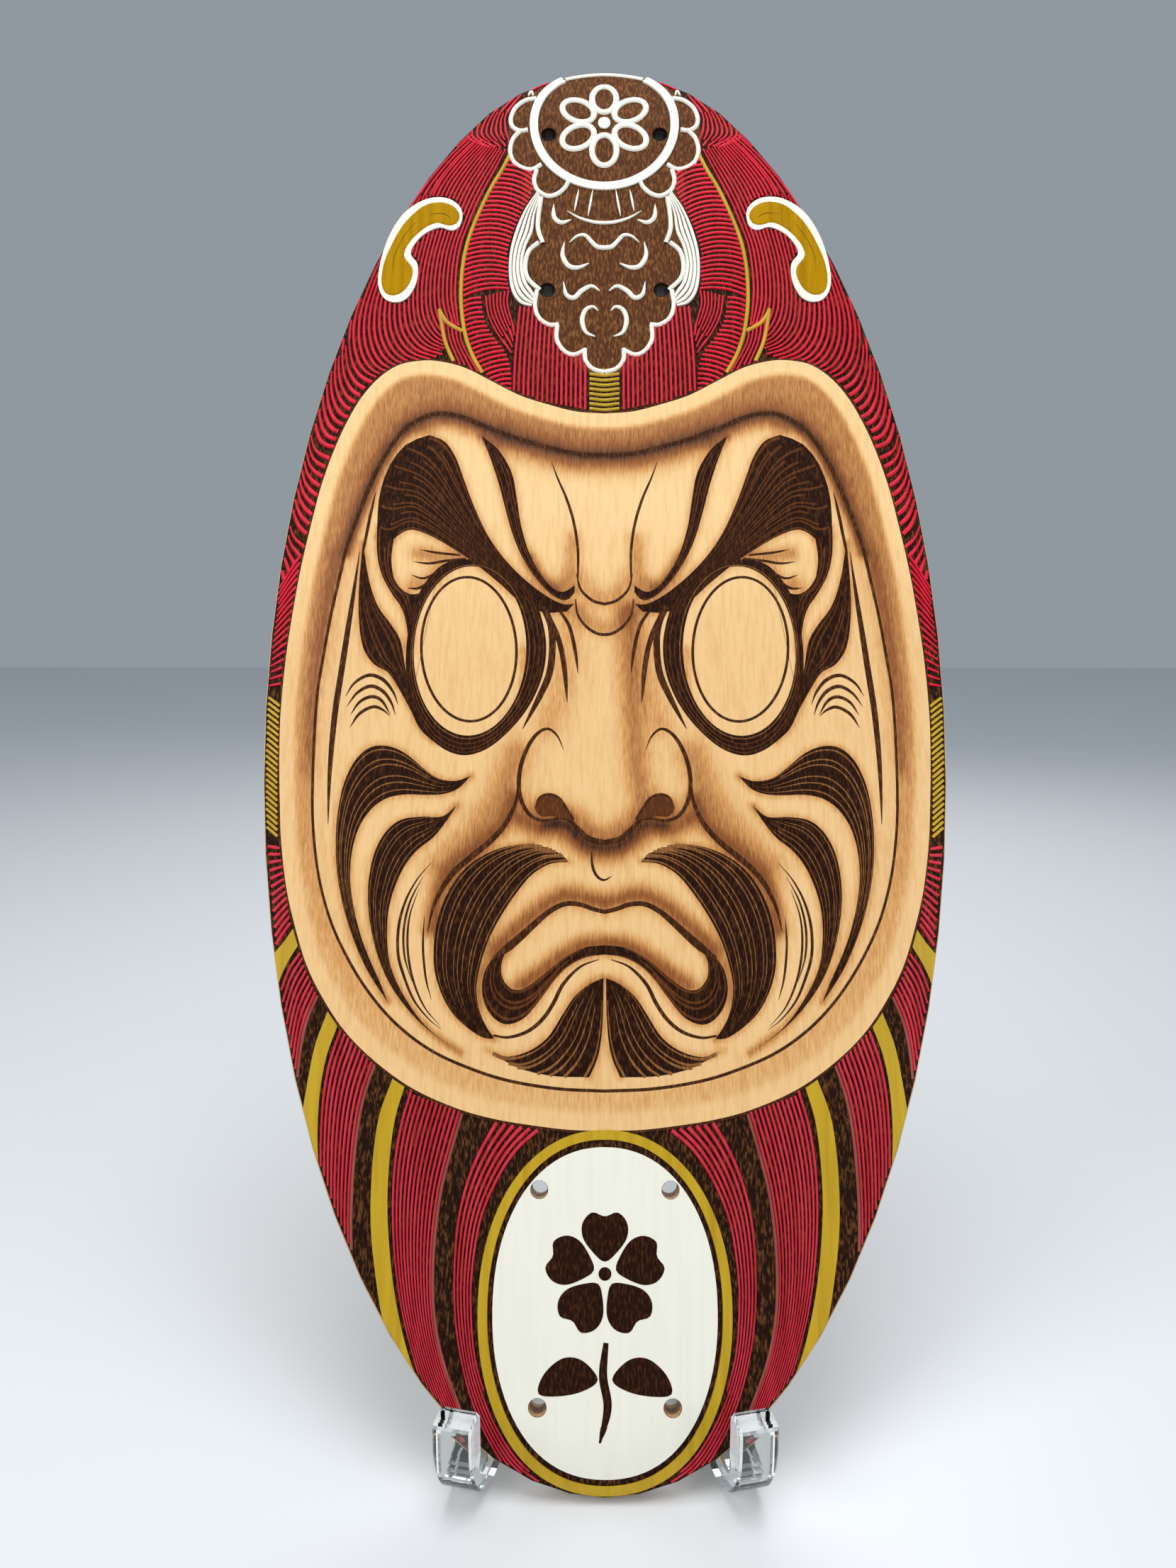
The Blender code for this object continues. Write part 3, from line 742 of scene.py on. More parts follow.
def band(relief, edge_a, edge_b, lift):
    """A flat painted band between an outer and an inner edge, cut back to the deck's outline."""
    a, b = curve(edge_a), curve(edge_b)
    points = max(8, int(max(length(a), length(b)) / 1.1))
    a, b = resample(a, points), resample(b, points)
    for share in np.linspace(0, 1, 41)[1:]:
        outside = ~inside(a, DECK_EDGE)
        cut = a + (b - a) * share
        a = np.where(outside[:, None] & inside(cut, DECK_EDGE)[:, None], cut, a)
    good = inside(a, DECK_EDGE)
    a, b = a[good], b[good]
    for side_a, side_b in ((a, b), (mirrored(b), mirrored(a))):
        u, v = (np.stack([side_a[:, axis]] * 2 + [side_b[:, axis]] * 2, 1) for axis in (0, 1))
        relief.grid(u, v, np.tile([relief.floor, lift, lift, relief.floor], (len(u), 1)))


def rungs(relief, rail_a, rail_b, count, bow=0.0, fill=RIB_FILL):
    """Ribs that cross from one rail to the other like rungs, sagging by bow."""
    a, b = resample(curve(rail_a), count + 1), resample(curve(rail_b), count + 1)
    share = np.linspace(0, 1, 26)[:, None]
    for index in range(count):
        start, end = (a[index] + a[index + 1]) / 2, (b[index] + b[index + 1]) / 2
        here = np.linalg.norm(a[index + 1] - a[index])
        there = np.linalg.norm(b[index + 1] - b[index])
        side = np.array([end[1] - start[1], start[0] - end[0]])
        side = side / max(np.linalg.norm(side), 1e-9)
        path = start + (end - start) * share + side * bow * 4 * share * (1 - share)
        width = fill * (here + (there - here) * share[:, 0])
        for piece, piece_width in runs(path, width, RIB_EDGE, NO_RIBS):
            for half in both(piece):
                relief.strip(half, np.clip(piece_width, *RIB_WIDTHS), RIB_LIFT)


BESIDE_GOLD_LINE = [
    (-36.2, 212.5), (-40, 204), (-43.3, 197), (-46.6, 189.5), (-49.4, 181.5), (-51.8, 174),
    (-53, 165), (-53.4, 156), (-53, 149), (-52.4, 142),
]
HOOD_RIB_A = [
    (-47, 217.5), (-55, 209), (-62, 199), (-66, 188), (-69, 175), (-71.5, 160), (-71.5, 148),
    (-69.5, 140), (-64.5, 134), (-57, 131),
]
HOOD_RIB_B = [
    (-50, 219.5), (-60, 208.5), (-72, 192), (-81, 176), (-87, 162), (-91, 150), (-92, 140),
    (-90.5, 131), (-87, 125), (-81, 121.5),
]
HOOD_RIB_C = [
    (-50.5, 219.9), (-63, 206.5), (-76, 189.5), (-87, 170), (-95.8, 149), (-101.5, 130),
    (-104.6, 115), (-104.6, 105), (-102.2, 98), (-97.2, 95.5),
]
SIDE_RIB_A = [(-102.2, 128), (-104.9, 114.5), (-105, 104.4), (-102.8, 97.6), (-97.6, 94.4)]
SIDE_RIB_B = [(-104, 125), (-109, 105), (-111.8, 90), (-111.6, 76), (-109.2, 67), (-104.8, 62)]
SIDE_RIB_C = [(-105, 60.4), (-109.4, 54.6), (-115.4, 44)]
SIDE_RIB_D = [(-111.6, 9), (-114.4, 8.8), (-118.4, 8.4)]
LEAF = [(-59.8, 149), (-56.5, 143), (-50.8, 139.6), (-47, 128), (-43, 121), (-53, 121), (-57.4, 135)]


# Rungs between the gold line and the hair bundle: two rails, number of rungs, and their sag.
RUNG_GROUPS = [
    (
        [
            (-35.5, 211), (-39.3, 202), (-43.7, 192), (-47.6, 181), (-50.6, 170), (-51.3, 160),
            (-51.3, 152.4),
        ],
        [(-25, 205), (-26, 197), (-29, 188), (-32.5, 179), (-34.6, 170), (-34.8, 161), (-33.4, 155)],
        30,
        -1.6,
    ),
    (
        [(-51.2, 152), (-50.6, 142), (-48.6, 134), (-46, 128), (-41, 120.5), (-35, 112)],
        [(-44.6, 153.4), (-43.2, 144), (-39.8, 137), (-35.4, 131), (-33.4, 124), (-33.2, 112)],
        23,
        -0.6,
    ),
]

# Smaller groups beside the tassel, the crest and the leaf: two edges and the number of ribs.
SMALL_GROUPS = [
    (
        [(-43.6, 153), (-42.4, 145.5), (-39.2, 138.5), (-35, 132.6), (-33.2, 130)],
        [(-34, 155.5), (-34.6, 151), (-33.6, 146), (-32.6, 142), (-32.4, 138)],
        7,
    ),
    (
        [(-31, 151), (-32, 139), (-32.8, 127), (-33.2, 110)],
        [(-6, 150), (-6, 135), (-6, 120), (-6, 104)],
        16,
    ),
    (
        [(-34, 214), (-36, 222), (-35.8, 228), (-31, 236.5)],
        [(-43, 213.6), (-52, 219), (-45.4, 230), (-34, 240.5)],
        9,
    ),
    ([(-27, 238.5), (-22.6, 241.5), (-17, 244)], [(-33, 240), (-27, 244.5), (-17, 249)], 4),
    (
        [(-51.4, 140.4), (-50.6, 135), (-47.6, 129), (-43.4, 122)],
        [(-59, 147), (-57.8, 137), (-55, 129), (-52, 121)],
        5,
    ),
]


def hood_ribs():
    relief = Relief()
    ribs(relief, BESIDE_GOLD_LINE, HOOD_RIB_A, 12, drop=NO_RIBS + list(both(LEAF)))
    ribs(relief, HOOD_RIB_A, HOOD_RIB_B, 11)
    ribs(relief, HOOD_RIB_B, HOOD_RIB_C, 10)
    ribs(relief, SIDE_RIB_A, SIDE_RIB_B, 9)
    ribs(
        relief,
        [(-112.4, 82), (-111.8, 72), (-109.4, 65.2), (-104.8, 61)],
        [(-114.6, 68), (-115.2, 60), (-115.6, 52), (-115.6, 44)],
        6,
    )
    ribs(relief, SIDE_RIB_C, SIDE_RIB_D, 17)
    for rail_a, rail_b, count, bow in RUNG_GROUPS:
        rungs(relief, rail_a, rail_b, count, bow)
    for edge_a, edge_b, count in SMALL_GROUPS:
        ribs(relief, edge_a, edge_b, count)
    relief.build("hood_crimson_ribs", CRIMSON)


CUFF_TOP = [(-109, -46), (-112, -45.4), (-117, -44)]
CUFF_FOOT = [(-103.5, -72), (-107, -77), (-112, -86)]

# Groups of robe ribs: outer edge, inner edge and number of ribs.
ROBE_GROUPS = [
    (
        [(-101, -81), (-105, -87), (-109, -99)],
        [(-94, -94.5), (-97.8, -104), (-99.6, -114), (-100.4, -130)],
        8,
    ),
    (
        [
            (-86.4, -106), (-89.6, -116), (-91.3, -127), (-91.6, -140), (-91, -153), (-90, -165),
            (-87, -188),
        ],
        [
            (-74.5, -117.3), (-77.6, -127), (-79.4, -137), (-80.4, -150), (-80.6, -165),
            (-79.6, -178), (-76.4, -190),
        ],
        9,
    ),
    (
        [
            (-62.6, -125), (-65.6, -136), (-67.2, -148), (-67.4, -162), (-66.2, -176), (-64, -189),
            (-61, -200), (-56, -214), (-49, -227),
        ],
        [
            (-45.4, -131), (-48.8, -143), (-51.8, -155), (-53.5, -168), (-54, -182), (-53, -195),
            (-50, -207), (-45, -219), (-42, -226),
        ],
        12,
    ),
    (
        [
            (-35, -134), (-40, -143), (-44, -153), (-46.6, -165), (-47.4, -180), (-46.6, -195),
            (-44, -208), (-40.4, -219), (-35.5, -229), (-28, -239), (-12, -249),
        ],
        [
            (-19, -137), (-27, -143.5), (-33.5, -153), (-38.5, -165), (-40.9, -180), (-41, -192),
            (-39.6, -205), (-35.6, -217), (-29.5, -228), (-22, -236.5), (-8, -245.5),
        ],
        6,
    ),
]


def robe_ribs():
    relief = Relief()
    ribs(relief, CUFF_TOP, CUFF_FOOT, 13)
    for outer, inner, count in ROBE_GROUPS:
        ribs(relief, outer, inner, count, ROBE_FILL, ROBE_FINEST)
    # The robe ribs take the lighter crimson, a painted sheen.
    relief.build("robe_crimson_ribs", CRIMSON_SHEEN)


def robe_seams():
    """The dull red line between a group of robe ribs and the burnt band inside it."""
    relief = Relief()
    for _, inner, _ in ROBE_GROUPS[:3]:
        for piece, width in runs(curve(inner) + (0.35, 0), 1.0, RIB_EDGE, [FRAME_EDGE]):
            for side in both(piece):
                relief.strip(side, width, SEAM_LIFT)
    relief.build("robe_seams", DULL_RED)


GOLD_BANDS = [
    (
        [(-103.2, -73.5), (-106.2, -78), (-111, -85), (-113, -99)],
        [(-101.2, -79), (-104.8, -85), (-107.6, -92), (-108.4, -100)],
    ),
    (
        [(-90.3, -100.6), (-94, -111), (-96, -122), (-97.5, -135), (-97, -150), (-95, -163)],
        [(-86.8, -105), (-90.2, -115), (-91.9, -126), (-92.2, -138), (-91.4, -150), (-90.6, -163)],
    ),
    (
        [(-68, -121.4), (-72, -133), (-73.6, -145), (-74, -158), (-73.4, -170), (-71.6, -182),
         (-69.4, -193), (-66, -204), (-60, -221)],
        [(-64, -123.8), (-66.9, -134), (-68.3, -146), (-68.6, -160), (-67.6, -173), (-66, -184),
         (-63.8, -194), (-60.4, -205), (-54, -220)],
    ),
]

SASH_OUT = [(-118, 8), (-118.4, -14), (-117.6, -38)]
SASH_IN = [(-111.4, 3), (-111.6, -19), (-110.4, -44)]
GOLD_LINE = [
    (-34.6, 211.5), (-38, 204), (-41.5, 197.5), (-45, 189.5), (-48, 181.5), (-50.2, 174),
    (-51.6, 165), (-52, 155), (-51.5, 147), (-50, 138), (-47.3, 130), (-43.5, 123),
]
LEAF_LINES = [
    [(-59.6, 148.5), (-58.8, 143), (-57, 135), (-53.5, 126.5)],
    [(-59.4, 147.5), (-56.5, 143), (-51, 139.5)],
]


def gold_work():
    relief = Relief()
    for edge_a, edge_b in GOLD_BANDS:
        band(relief, edge_a, edge_b, BAND_LIFT)
    for line in [GOLD_LINE] + LEAF_LINES:
        for piece, width in runs(curve(line), 1.5, DECK_EDGE, [FRAME_EDGE, CREST]):
            for side in both(piece):
                relief.strip(side, width, BRUSH_LIFT)
    relief.strip(OVAL_RING, 3.1, RING_LIFT, closed=True, profile=FLAT)
    for v in np.arange(108.8, 124, 1.9):
        rung = curve([(-5.3, v + 0.5), (0, v - 0.1), (5.3, v + 0.5)], step=1.0)
        relief.strip(rung, 1.15, OVAL_LIFT)
    rungs(relief, SASH_OUT, SASH_IN, 23, fill=0.52)
    relief.build("gold_bands", GOLD)


def gold_blobs():
    relief = Relief()
    for side in both(BLOB_GOLD):
        relief.plate(side, 0.66, pitch=3.0)
        relief.strip(side, 2.8, 0.65, closed=True)
    # The blobs take the darker gold, a painted shade.
    relief.build("gold_blobs", GOLD_IN_SHADE)


BLOB_CREASES = [
    ([(-77, 163.5), (-76.8, 170), (-73.5, 178), (-69, 184)], 0.5),
    ([(-56, 184.4), (-59, 186.6), (-64, 186.6)], 0.7),
    ([(-71.6, 167.6), (-73, 164.5)], 0.6),
]


def gold_creases():
    """Dark brush lines over the gold blobs."""
    relief = Relief(floor=0.6)
    for line, width in BLOB_CREASES:
        for side in both(curve(line)):
            relief.stroke(side, width, 0.72)
    relief.build("gold_creases", INK)


# ---------------------------------------------------------------- white work


def rosette(relief, middle, petals, reach, width):
    """A plain flower: looped petals round a dot."""
    for index in range(petals):
        turn = math.tau * index / petals + math.pi / 2
        away = np.array([math.cos(turn), math.sin(turn)])
        centre = np.array(middle) + away * reach * 0.64
        petal = ellipse(centre, reach * 0.36, reach * 0.26, turn, 30)
        relief.strip(petal, width, BRUSH_LIFT, closed=True)
    relief.plate(ellipse(middle, 2.3, 2.3, steps=24), EDGE_LIFT, pitch=1.5)


# Brush strokes on the tassel's left half, and their widths.
TASSEL_STROKES = [
    ([(-9.4, 196), (-11, 187)], 0.9),
    ([(-4.2, 196), (-6, 185)], 0.9),
    ([(-13.6, 187.2), (-9, 184.4), (-4, 182.8), (0, 182.4)], 1.3),
    ([(-18.6, 189.8), (-18.4, 185), (-15.8, 182.6), (-12.2, 183.6)], 1.8),
    ([(-12.8, 174.4), (-10, 177), (-7, 177.4), (-4.6, 174.8), (-2.6, 172.8), (0, 172.4)], 1.8),
    ([(-14.6, 174.4), (-15.2, 169.4), (-13, 165.2), (-9.6, 164.4), (-5.6, 166)], 1.9),
    ([(-14.8, 158.6), (-13.8, 153.8), (-11, 152.4), (-8.2, 155.2), (-4.6, 157), (-1.6, 155)], 1.9),
    ([(-2.2, 147), (-4, 148.8), (-6.8, 147.6), (-8, 143.4), (-6.6, 138.8), (-3.2, 137)], 1.8),
]


def white_work():
    relief = Relief()
    ring = ellipse(CREST_MIDDLE, CREST_RADIUS, CREST_RADIUS, steps=120)
    start = int(np.argmin(ring[:, 1]))
    ring = np.vstack([np.roll(ring, -start, axis=0), ring[start]])
    for piece, width in runs(ring, 3.2, outline(FACE_INSET + 1.2)):
        relief.strip(piece, width, EDGE_LIFT, profile=FLAT)
    rim = outline(FACE_INSET + 1.05, 360)
    relief.strip(rim[(np.abs(rim[:, 0]) < 16) & (rim[:, 1] > 0)], 1.5, RING_LIFT)
    rosette(relief, CREST_MIDDLE, 6, 17.5, 2.3)
    for edge in SCALLOPS + TASSEL_EDGES:
        for side in both(curve(edge, step=0.8)):
            relief.strip(side, 1.7, EDGE_LIFT)
    for side in both(curve([(-28.6, 236), (-27.4, 238.4), (-26.4, 236)], step=0.5)):
        relief.stroke(side, 1.0, EDGE_LIFT)
    bundle_out, bundle_in = curve(HAIR_BUNDLE_OUT), curve(HAIR_BUNDLE_IN)
    width = np.clip(spacing(bundle_out, bundle_in, 46) / BUNDLE_COUNT * 0.78, 0.5, 2.4)
    for index in range(BUNDLE_COUNT):
        for side in both(between(bundle_out, bundle_in, (index + 0.5) / BUNDLE_COUNT, None, 46)):
            relief.strip(side, width, BRUSH_LIFT)
    for line, width in TASSEL_STROKES:
        tip = 0.12 if line[-1][0] == 0 else 0.15
        relief.stroke_pair(line, 0.7, width, BRUSH_LIFT, (tip, tip))
    relief.build("white_lines", WHITE)


def blob_rims():
    """White paint under and round the gold blobs."""
    relief = Relief()
    for side in both(BLOB_WHITE):
        relief.plate(side, BRUSH_LIFT, pitch=3.0)
    relief.build("white_blob_rims", WHITE)


def white_oval():
    relief = Relief()
    radius = HOLE_RADIUS + 0.1
    rows = (-HOLE_ROWS_MIDDLE - HOLE_ROWS_APART / 2, -HOLE_ROWS_MIDDLE + HOLE_ROWS_APART / 2)
    places = [(u, v) for u in (-HOLE_ACROSS, HOLE_ACROSS) for v in rows]
    holes = [ellipse(place, radius, radius, steps=24) for place in places]
    relief.plate(OVAL, OVAL_LIFT, holes, pitch=3.5)
    relief.build("white_oval", WHITE)


BLOSSOM_MIDDLE = (0.0, -180.5)
BLOSSOM_LIFT = 0.46
BLOSSOM_STEM = [(0.3, -200.5), (-0.6, -210), (0.8, -219), (-1.6, -229)]
PETALS = 5
PETAL = [
    (3.6, 0), (6, -3.4), (10.5, -6.8), (15, -7), (18.2, -4), (17, 0), (18.2, 4), (15, 7),
    (10.5, 6.8), (6, 3.4),
]
BLOSSOM_LEAF = [
    (-2.2, -211), (-7, -205.6), (-13, -205), (-18.6, -209.4), (-20.4, -215), (-14.5, -215.8),
    (-7, -214.4),
]


def oval_blossom():
    """A generic blossom with a stem and two leaves, as bold burnt brush strokes."""
    relief = Relief(floor=0.3)
    petal = curve(PETAL, closed=True, step=1.2)
    for index in range(PETALS):
        turn = math.tau * index / PETALS + math.pi / 2
        c, s = math.cos(turn), math.sin(turn)
        relief.plate(petal @ np.array([(c, s), (-s, c)]) + BLOSSOM_MIDDLE, BLOSSOM_LIFT, pitch=2.5)
    relief.plate(ellipse(BLOSSOM_MIDDLE, 2.0, 2.0, steps=28), BLOSSOM_LIFT, pitch=1.5)
    for side in both(curve(BLOSSOM_LEAF, closed=True, step=1.2)):
        relief.plate(side, BLOSSOM_LIFT, pitch=2.5)
    relief.stroke(curve(BLOSSOM_STEM), 4.2, BLOSSOM_LIFT, (0.6, 0.2))
    relief.build("oval_blossom", HAIR)


# ---------------------------------------------------------------- the face

FACE_LIFT = 0.3
LINE_LIFT = 0.36
STROKE_LIFT = LINE_LIFT + 0.04
HAIR_LIFT = LINE_LIFT + 0.06

BROW_TOP = [
    (-62, 99.6), (-56.5, 97), (-52.5, 91), (-49.5, 83), (-46, 73.5), (-41, 62.5), (-35, 53.5),
    (-28, 46), (-20, 39.6), (-14, 36.6), (-10.5, 36.8),
]
BROW_LOW = [
    (-79.6, 62), (-77.5, 60.5), (-74.5, 60.5), (-71, 63.2), (-67, 64.4), (-60, 61.6),
    (-52, 56.6), (-45, 51.6), (-36, 44), (-29, 37.5), (-21, 33.8), (-13, 34),
]
BROW_START = [(-62, 99.6), (-70, 96.6), (-76, 88.5), (-79.3, 77), (-79.6, 62)]
TEMPLE_OUT = [(-79.7, 66), (-79.3, 56), (-77.3, 48), (-73.5, 41), (-69.8, 35.5), (-67.8, 28),
              (-67.2, 20)]
TEMPLE_IN = [(-73.6, 61), (-74.2, 54), (-73.2, 47), (-70.6, 42.4), (-66.4, 39.3), (-65.8, 30), (-66, 20)]
STRIPE_LEFT = [
    (-43.4, 98.8), (-40, 90), (-36.8, 80), (-34.2, 70), (-31.2, 60), (-27.5, 52), (-22.5, 44.6),
    (-17.5, 39.6), (-13, 38), (-10.3, 41),
]
STRIPE_RIGHT = [
    (-43.4, 98.8), (-37.4, 93.5), (-32.6, 85), (-30.6, 75), (-29, 65), (-26, 55), (-22, 47.4),
    (-18, 42.6), (-14.2, 41), (-10.3, 43.4),
]
FLAME_OUT = [
    (-84.5, 60), (-85.3, 46), (-84.9, 32), (-83, 22), (-79, 16), (-74, 13), (-70, 7), (-66, 0),
    (-62.4, -7), (-57.5, -11.6),
]
FLAME_IN = [
    (-84.5, 60), (-82, 47), (-78.5, 37), (-73.5, 30), (-70, 24), (-68, 14), (-65.5, 4),
    (-62, -3), (-59.5, -8), (-56.5, -10.8),
]
EYE_MIDDLE = (-46.0, 20.5)
EYE_SOCKET = (19.3, 30.0)
EYEBALL = ellipse((-46.4, 21.0), 16.3, 25.6, math.radians(4.5), 72)
EYE_RING = curve([
    (-46, 53), (-55, 51.8), (-61.5, 45.5), (-66, 36), (-67.7, 25), (-67.9, 15), (-66.6, 5),
    (-63.2, -3.5), (-58.2, -10.8), (-52.2, -15), (-46, -16.2), (-39, -13.7), (-32, -7.7), (-26, 0),
    (-21.8, 9), (-20, 18), (-20.5, 27), (-23.5, 37), (-29, 45.5), (-37, 51.4),
], closed=True, step=1.0)
CHEEK_A_OUT = [
    (-45, -23.4), (-50, -25), (-56, -24), (-61, -20.5), (-67, -15.5), (-73, -12.8), (-79, -13),
    (-84, -17), (-87.5, -24), (-89.3, -32), (-90, -42), (-89.5, -52), (-88, -61), (-85.5, -70),
    (-82, -79), (-78, -87), (-74, -93), (-70.6, -97.5),
]
CHEEK_A_IN = [
    (-45, -23.4), (-49, -27.6), (-54, -29.4), (-60, -29.6), (-67, -29.4), (-73, -30.6),
    (-78, -34), (-82, -40), (-84.2, -48), (-84.6, -57), (-83, -67), (-80, -77), (-76.5, -85),
    (-73.5, -91), (-70.6, -97.5),
]
CHEEK_B_OUT = [
    (-49.4, -33.3), (-54, -37), (-61, -37), (-68, -38), (-73, -42), (-76.6, -49), (-78.2, -58),
    (-78, -67), (-76.4, -76), (-73.5, -85), (-69, -93.5), (-62, -102), (-55, -108), (-46.5, -113.6),
]
CHEEK_B_IN = [
    (-49.4, -33.3), (-53, -39), (-57, -44), (-62, -48), (-66, -53), (-69.2, -60), (-71.2, -68),
    (-71.4, -77), (-70, -86), (-66, -94.5), (-60, -103), (-54, -108.6), (-46.5, -113.6),
]
MOUSTACHE_OUT = [
    (-24, -46.4), (-31, -46.8), (-38, -49), (-45, -53.4), (-50, -59.4), (-53.6, -67), (-55.6, -76),
    (-55.6, -86), (-53.4, -94), (-49.4, -101), (-44, -106), (-39, -109), (-35.6, -109.2),
]
MOUSTACHE_IN = [
    (-12, -52.2), (-18, -52.8), (-24, -56.4), (-29, -62.4), (-34, -70), (-37.6, -77), (-40, -84),
    (-41.6, -92), (-41, -98.5), (-39, -104), (-35.6, -109.2),
]
MOUSTACHE_START = [(-24, -46.4), (-19, -47.6), (-14.5, -49.6), (-12, -52.2)]
LIP_OUT = [
    (-31.5, -79.6), (-35.5, -82.6), (-39, -88), (-39.7, -95), (-37, -101.4), (-32, -104.7),
    (-26, -102.7), (-21, -96.8), (-17, -91.3), (-12, -86.3), (-6, -83.2), (0, -82.4),
]
LIP_IN = [
    (-31.5, -79.6), (-33.4, -84.6), (-33.4, -89.4), (-31, -93), (-27.6, -93.9), (-24, -92.2),
    (-19, -88.2), (-13, -83.4), (-6.5, -80.2), (0, -79.4),
]
UPPER_LIP = [
    (0, -68.6), (-4, -67.6), (-8, -66.2), (-13, -66), (-18, -68.4), (-23, -72.6), (-28, -77.2),
    (-31.8, -80.4), (-36, -83.6),
]
GOATEE_OUT = [
    (-38, -112.6), (-34, -114.6), (-29, -114.6), (-23, -112.4), (-18, -108.4), (-14, -102.2),
    (-10, -96.2), (-5, -92), (-0.6, -90),
]
GOATEE_IN = [(-5, -121.2), (-2.4, -115.4), (-1, -108), (-0.5, -98), (-0.4, -90)]
GOATEE_START = [(-38, -112.6), (-28, -118.2), (-17, -120.8), (-5, -121.2)]

# Burnt shapes: two edges, the curve their hairs start from, how many hairs, how far they part at it.
BROW = (BROW_TOP, BROW_LOW, BROW_START, 17, 0.0)
DARK_HAIRED = [
    (TEMPLE_OUT, TEMPLE_IN, None, 3, 0.0),
    (STRIPE_LEFT, STRIPE_RIGHT, None, 3, 0.0),
    (FLAME_OUT, FLAME_IN, None, 5, 0.0),
    (LIP_OUT, LIP_IN, None, 4, 0.0),
]
PALE_HAIRED = [
    (CHEEK_A_OUT, CHEEK_A_IN, None, 6, 0.0),
    (CHEEK_B_OUT, CHEEK_B_IN, None, 6, 0.0),
    (MOUSTACHE_OUT, MOUSTACHE_IN, MOUSTACHE_START, 9, 4.0),
    (GOATEE_OUT, GOATEE_IN, GOATEE_START, 7, 2.5),
]
HAIR_SHAPES = [BROW] + DARK_HAIRED + PALE_HAIRED

NOSTRIL = [
    (-23.2, -34.4), (-22, -31.4), (-19, -30), (-15.8, -31), (-13, -34), (-10.8, -38),
    (-13.6, -38), (-17, -36.9), (-21, -37),
]
UNDER_EAR = [
    (-73.8, 50), (-73, 46.6), (-70.2, 42.6), (-66.4, 40.7), (-62.4, 42), (-58, 47), (-53, 50.6),
    (-46, 53.2), (-44, 51.5), (-52, 50), (-60, 44), (-65, 35), (-68, 33), (-71.4, 39),
]

# Thin burnt lines of the left half: points, width, and how far each tip narrows.
FACE_LINES = [
    ([(-18.6, 89), (-16.5, 83), (-13.2, 75), (-10.6, 66), (-9.2, 56), (-9.2, 46)], 1.1, (0.2, 0.7)),
    ([(-9.6, 47.5), (-8.2, 42), (-4.2, 38), (0, 36.7)], 1.2, (0.4, 1.0)),
    ([(-10, 38.5), (-9.2, 33), (-6.2, 28.6), (-2.6, 26.2), (0, 25.8)], 1.2, (0.4, 1.0)),
    ([(-21, 36), (-18.4, 29), (-17.8, 21), (-18.8, 12), (-22, 4), (-27.6, -7.2)], 2.6, (1.0, 0.1)),
    ([(-20, 34), (-16, 25), (-13.8, 15), (-12.6, 2)], 2.0, (0.9, 0.1)),
    ([(-15.4, 34.4), (-12, 28.6), (-10, 20), (-9, 12)], 1.4, (0.8, 0.1)),
    ([(-85.6, 57), (-87.2, 42), (-88.8, 28), (-90.4, 14), (-92, 0), (-92.9, -15), (-93.1, -28),
      (-92.9, -39)], 2.4, (0.1, 0.1)),
    ([(-84.6, 56), (-83.4, 63), (-82.3, 70), (-80.6, 79)], 1.3, (0.7, 0.1)),
    ([(-88.6, 5), (-85.6, 9.6), (-80.6, 12.2), (-75.6, 10.4), (-72, 6), (-70.2, 1.6)], 1.4, (0.1, 0.1)),
    ([(-88, 1.4), (-84.6, 6), (-80, 8.3), (-75.6, 6.4), (-72.6, 2.4), (-71, -2)], 1.4, (0.1, 0.1)),
    ([(-86.6, -1.6), (-83.6, 2.8), (-79.4, 4.6), (-75.8, 3), (-72.8, -1.8)], 1.3, (0.1, 0.1)),
    ([(-86.6, -6), (-83.6, -1.4), (-79, 1), (-75.6, 0), (-73, -2.2)], 1.3, (0.1, 0.1)),
    ([(-57.4, -52.4), (-62, -58), (-65.6, -65), (-67.6, -73), (-67.6, -82), (-65.6, -89),
      (-62, -97), (-57, -103), (-52.8, -106.2)], 1.1, (0.1, 0.1)),
    ([(-60, -57), (-64, -65), (-65.9, -74), (-65.4, -83), (-62.8, -91)], 0.9, (0.1, 0.1)),
    ([(-61.2, -61), (-64.1, -70), (-64.5, -80), (-62.6, -90), (-58.6, -99),
      (-53.4, -105)], 0.9, (0.1, 0.1)),
    ([(-59.2, -70), (-59.4, -80), (-58.2, -90), (-56.2, -97)], 0.9, (0.1, 0.1)),
    ([(-13.8, -14.4), (-15.8, -9.8), (-19, -7.2), (-22.6, -8.8), (-25.8, -13.4), (-28, -19.6),
      (-28.7, -26), (-27.8, -31.6), (-25, -36.4), (-20.6, -38.4), (-15, -37.6)], 1.6, (0.1, 0.6)),
    ([(-16, -37.8), (-12.2, -38), (-8.6, -41.6), (-5, -44.6), (0, -45.8)], 2.2, (0.4, 1.0)),
    ([(-23, -34.4), (-21.8, -31), (-18.8, -29.8), (-15.4, -31), (-12.8, -34.6),
      (-10.6, -38.2)], 1.6, (0.2, 0.9)),
    ([(-28.9, -26), (-29.6, -32), (-32.6, -39), (-37.6, -45), (-44, -50.4), (-49.6, -55.4),
      (-53.6, -61), (-56.4, -67.4), (-58, -75)], 2.2, (0.3, 0.1)),
    ([(-2, -84), (-8, -86.4), (-13.4, -91.8), (-16.6, -98), (-20.2, -103.2), (-25, -107),
      (-31, -108.8), (-36, -108.2)], 1.4, (0.2, 0.5)),
    ([(-64, 56.9), (-58, 55.6), (-50, 54.6)], 1.0, (0.1, 0.8)),
    ([(-66.4, 52.6), (-61, 51.8), (-55, 52.6), (-48, 53.2)], 1.1, (0.1, 0.9)),
    ([(-67, 47.8), (-63, 46.4), (-59.6, 47.6), (-55.6, 50.4)], 1.0, (0.1, 0.8)),
    ([(-68, 43), (-64.6, 42.8), (-61.6, 44.4), (-58.6, 47.8)], 1.2, (0.2, 0.8)),
]

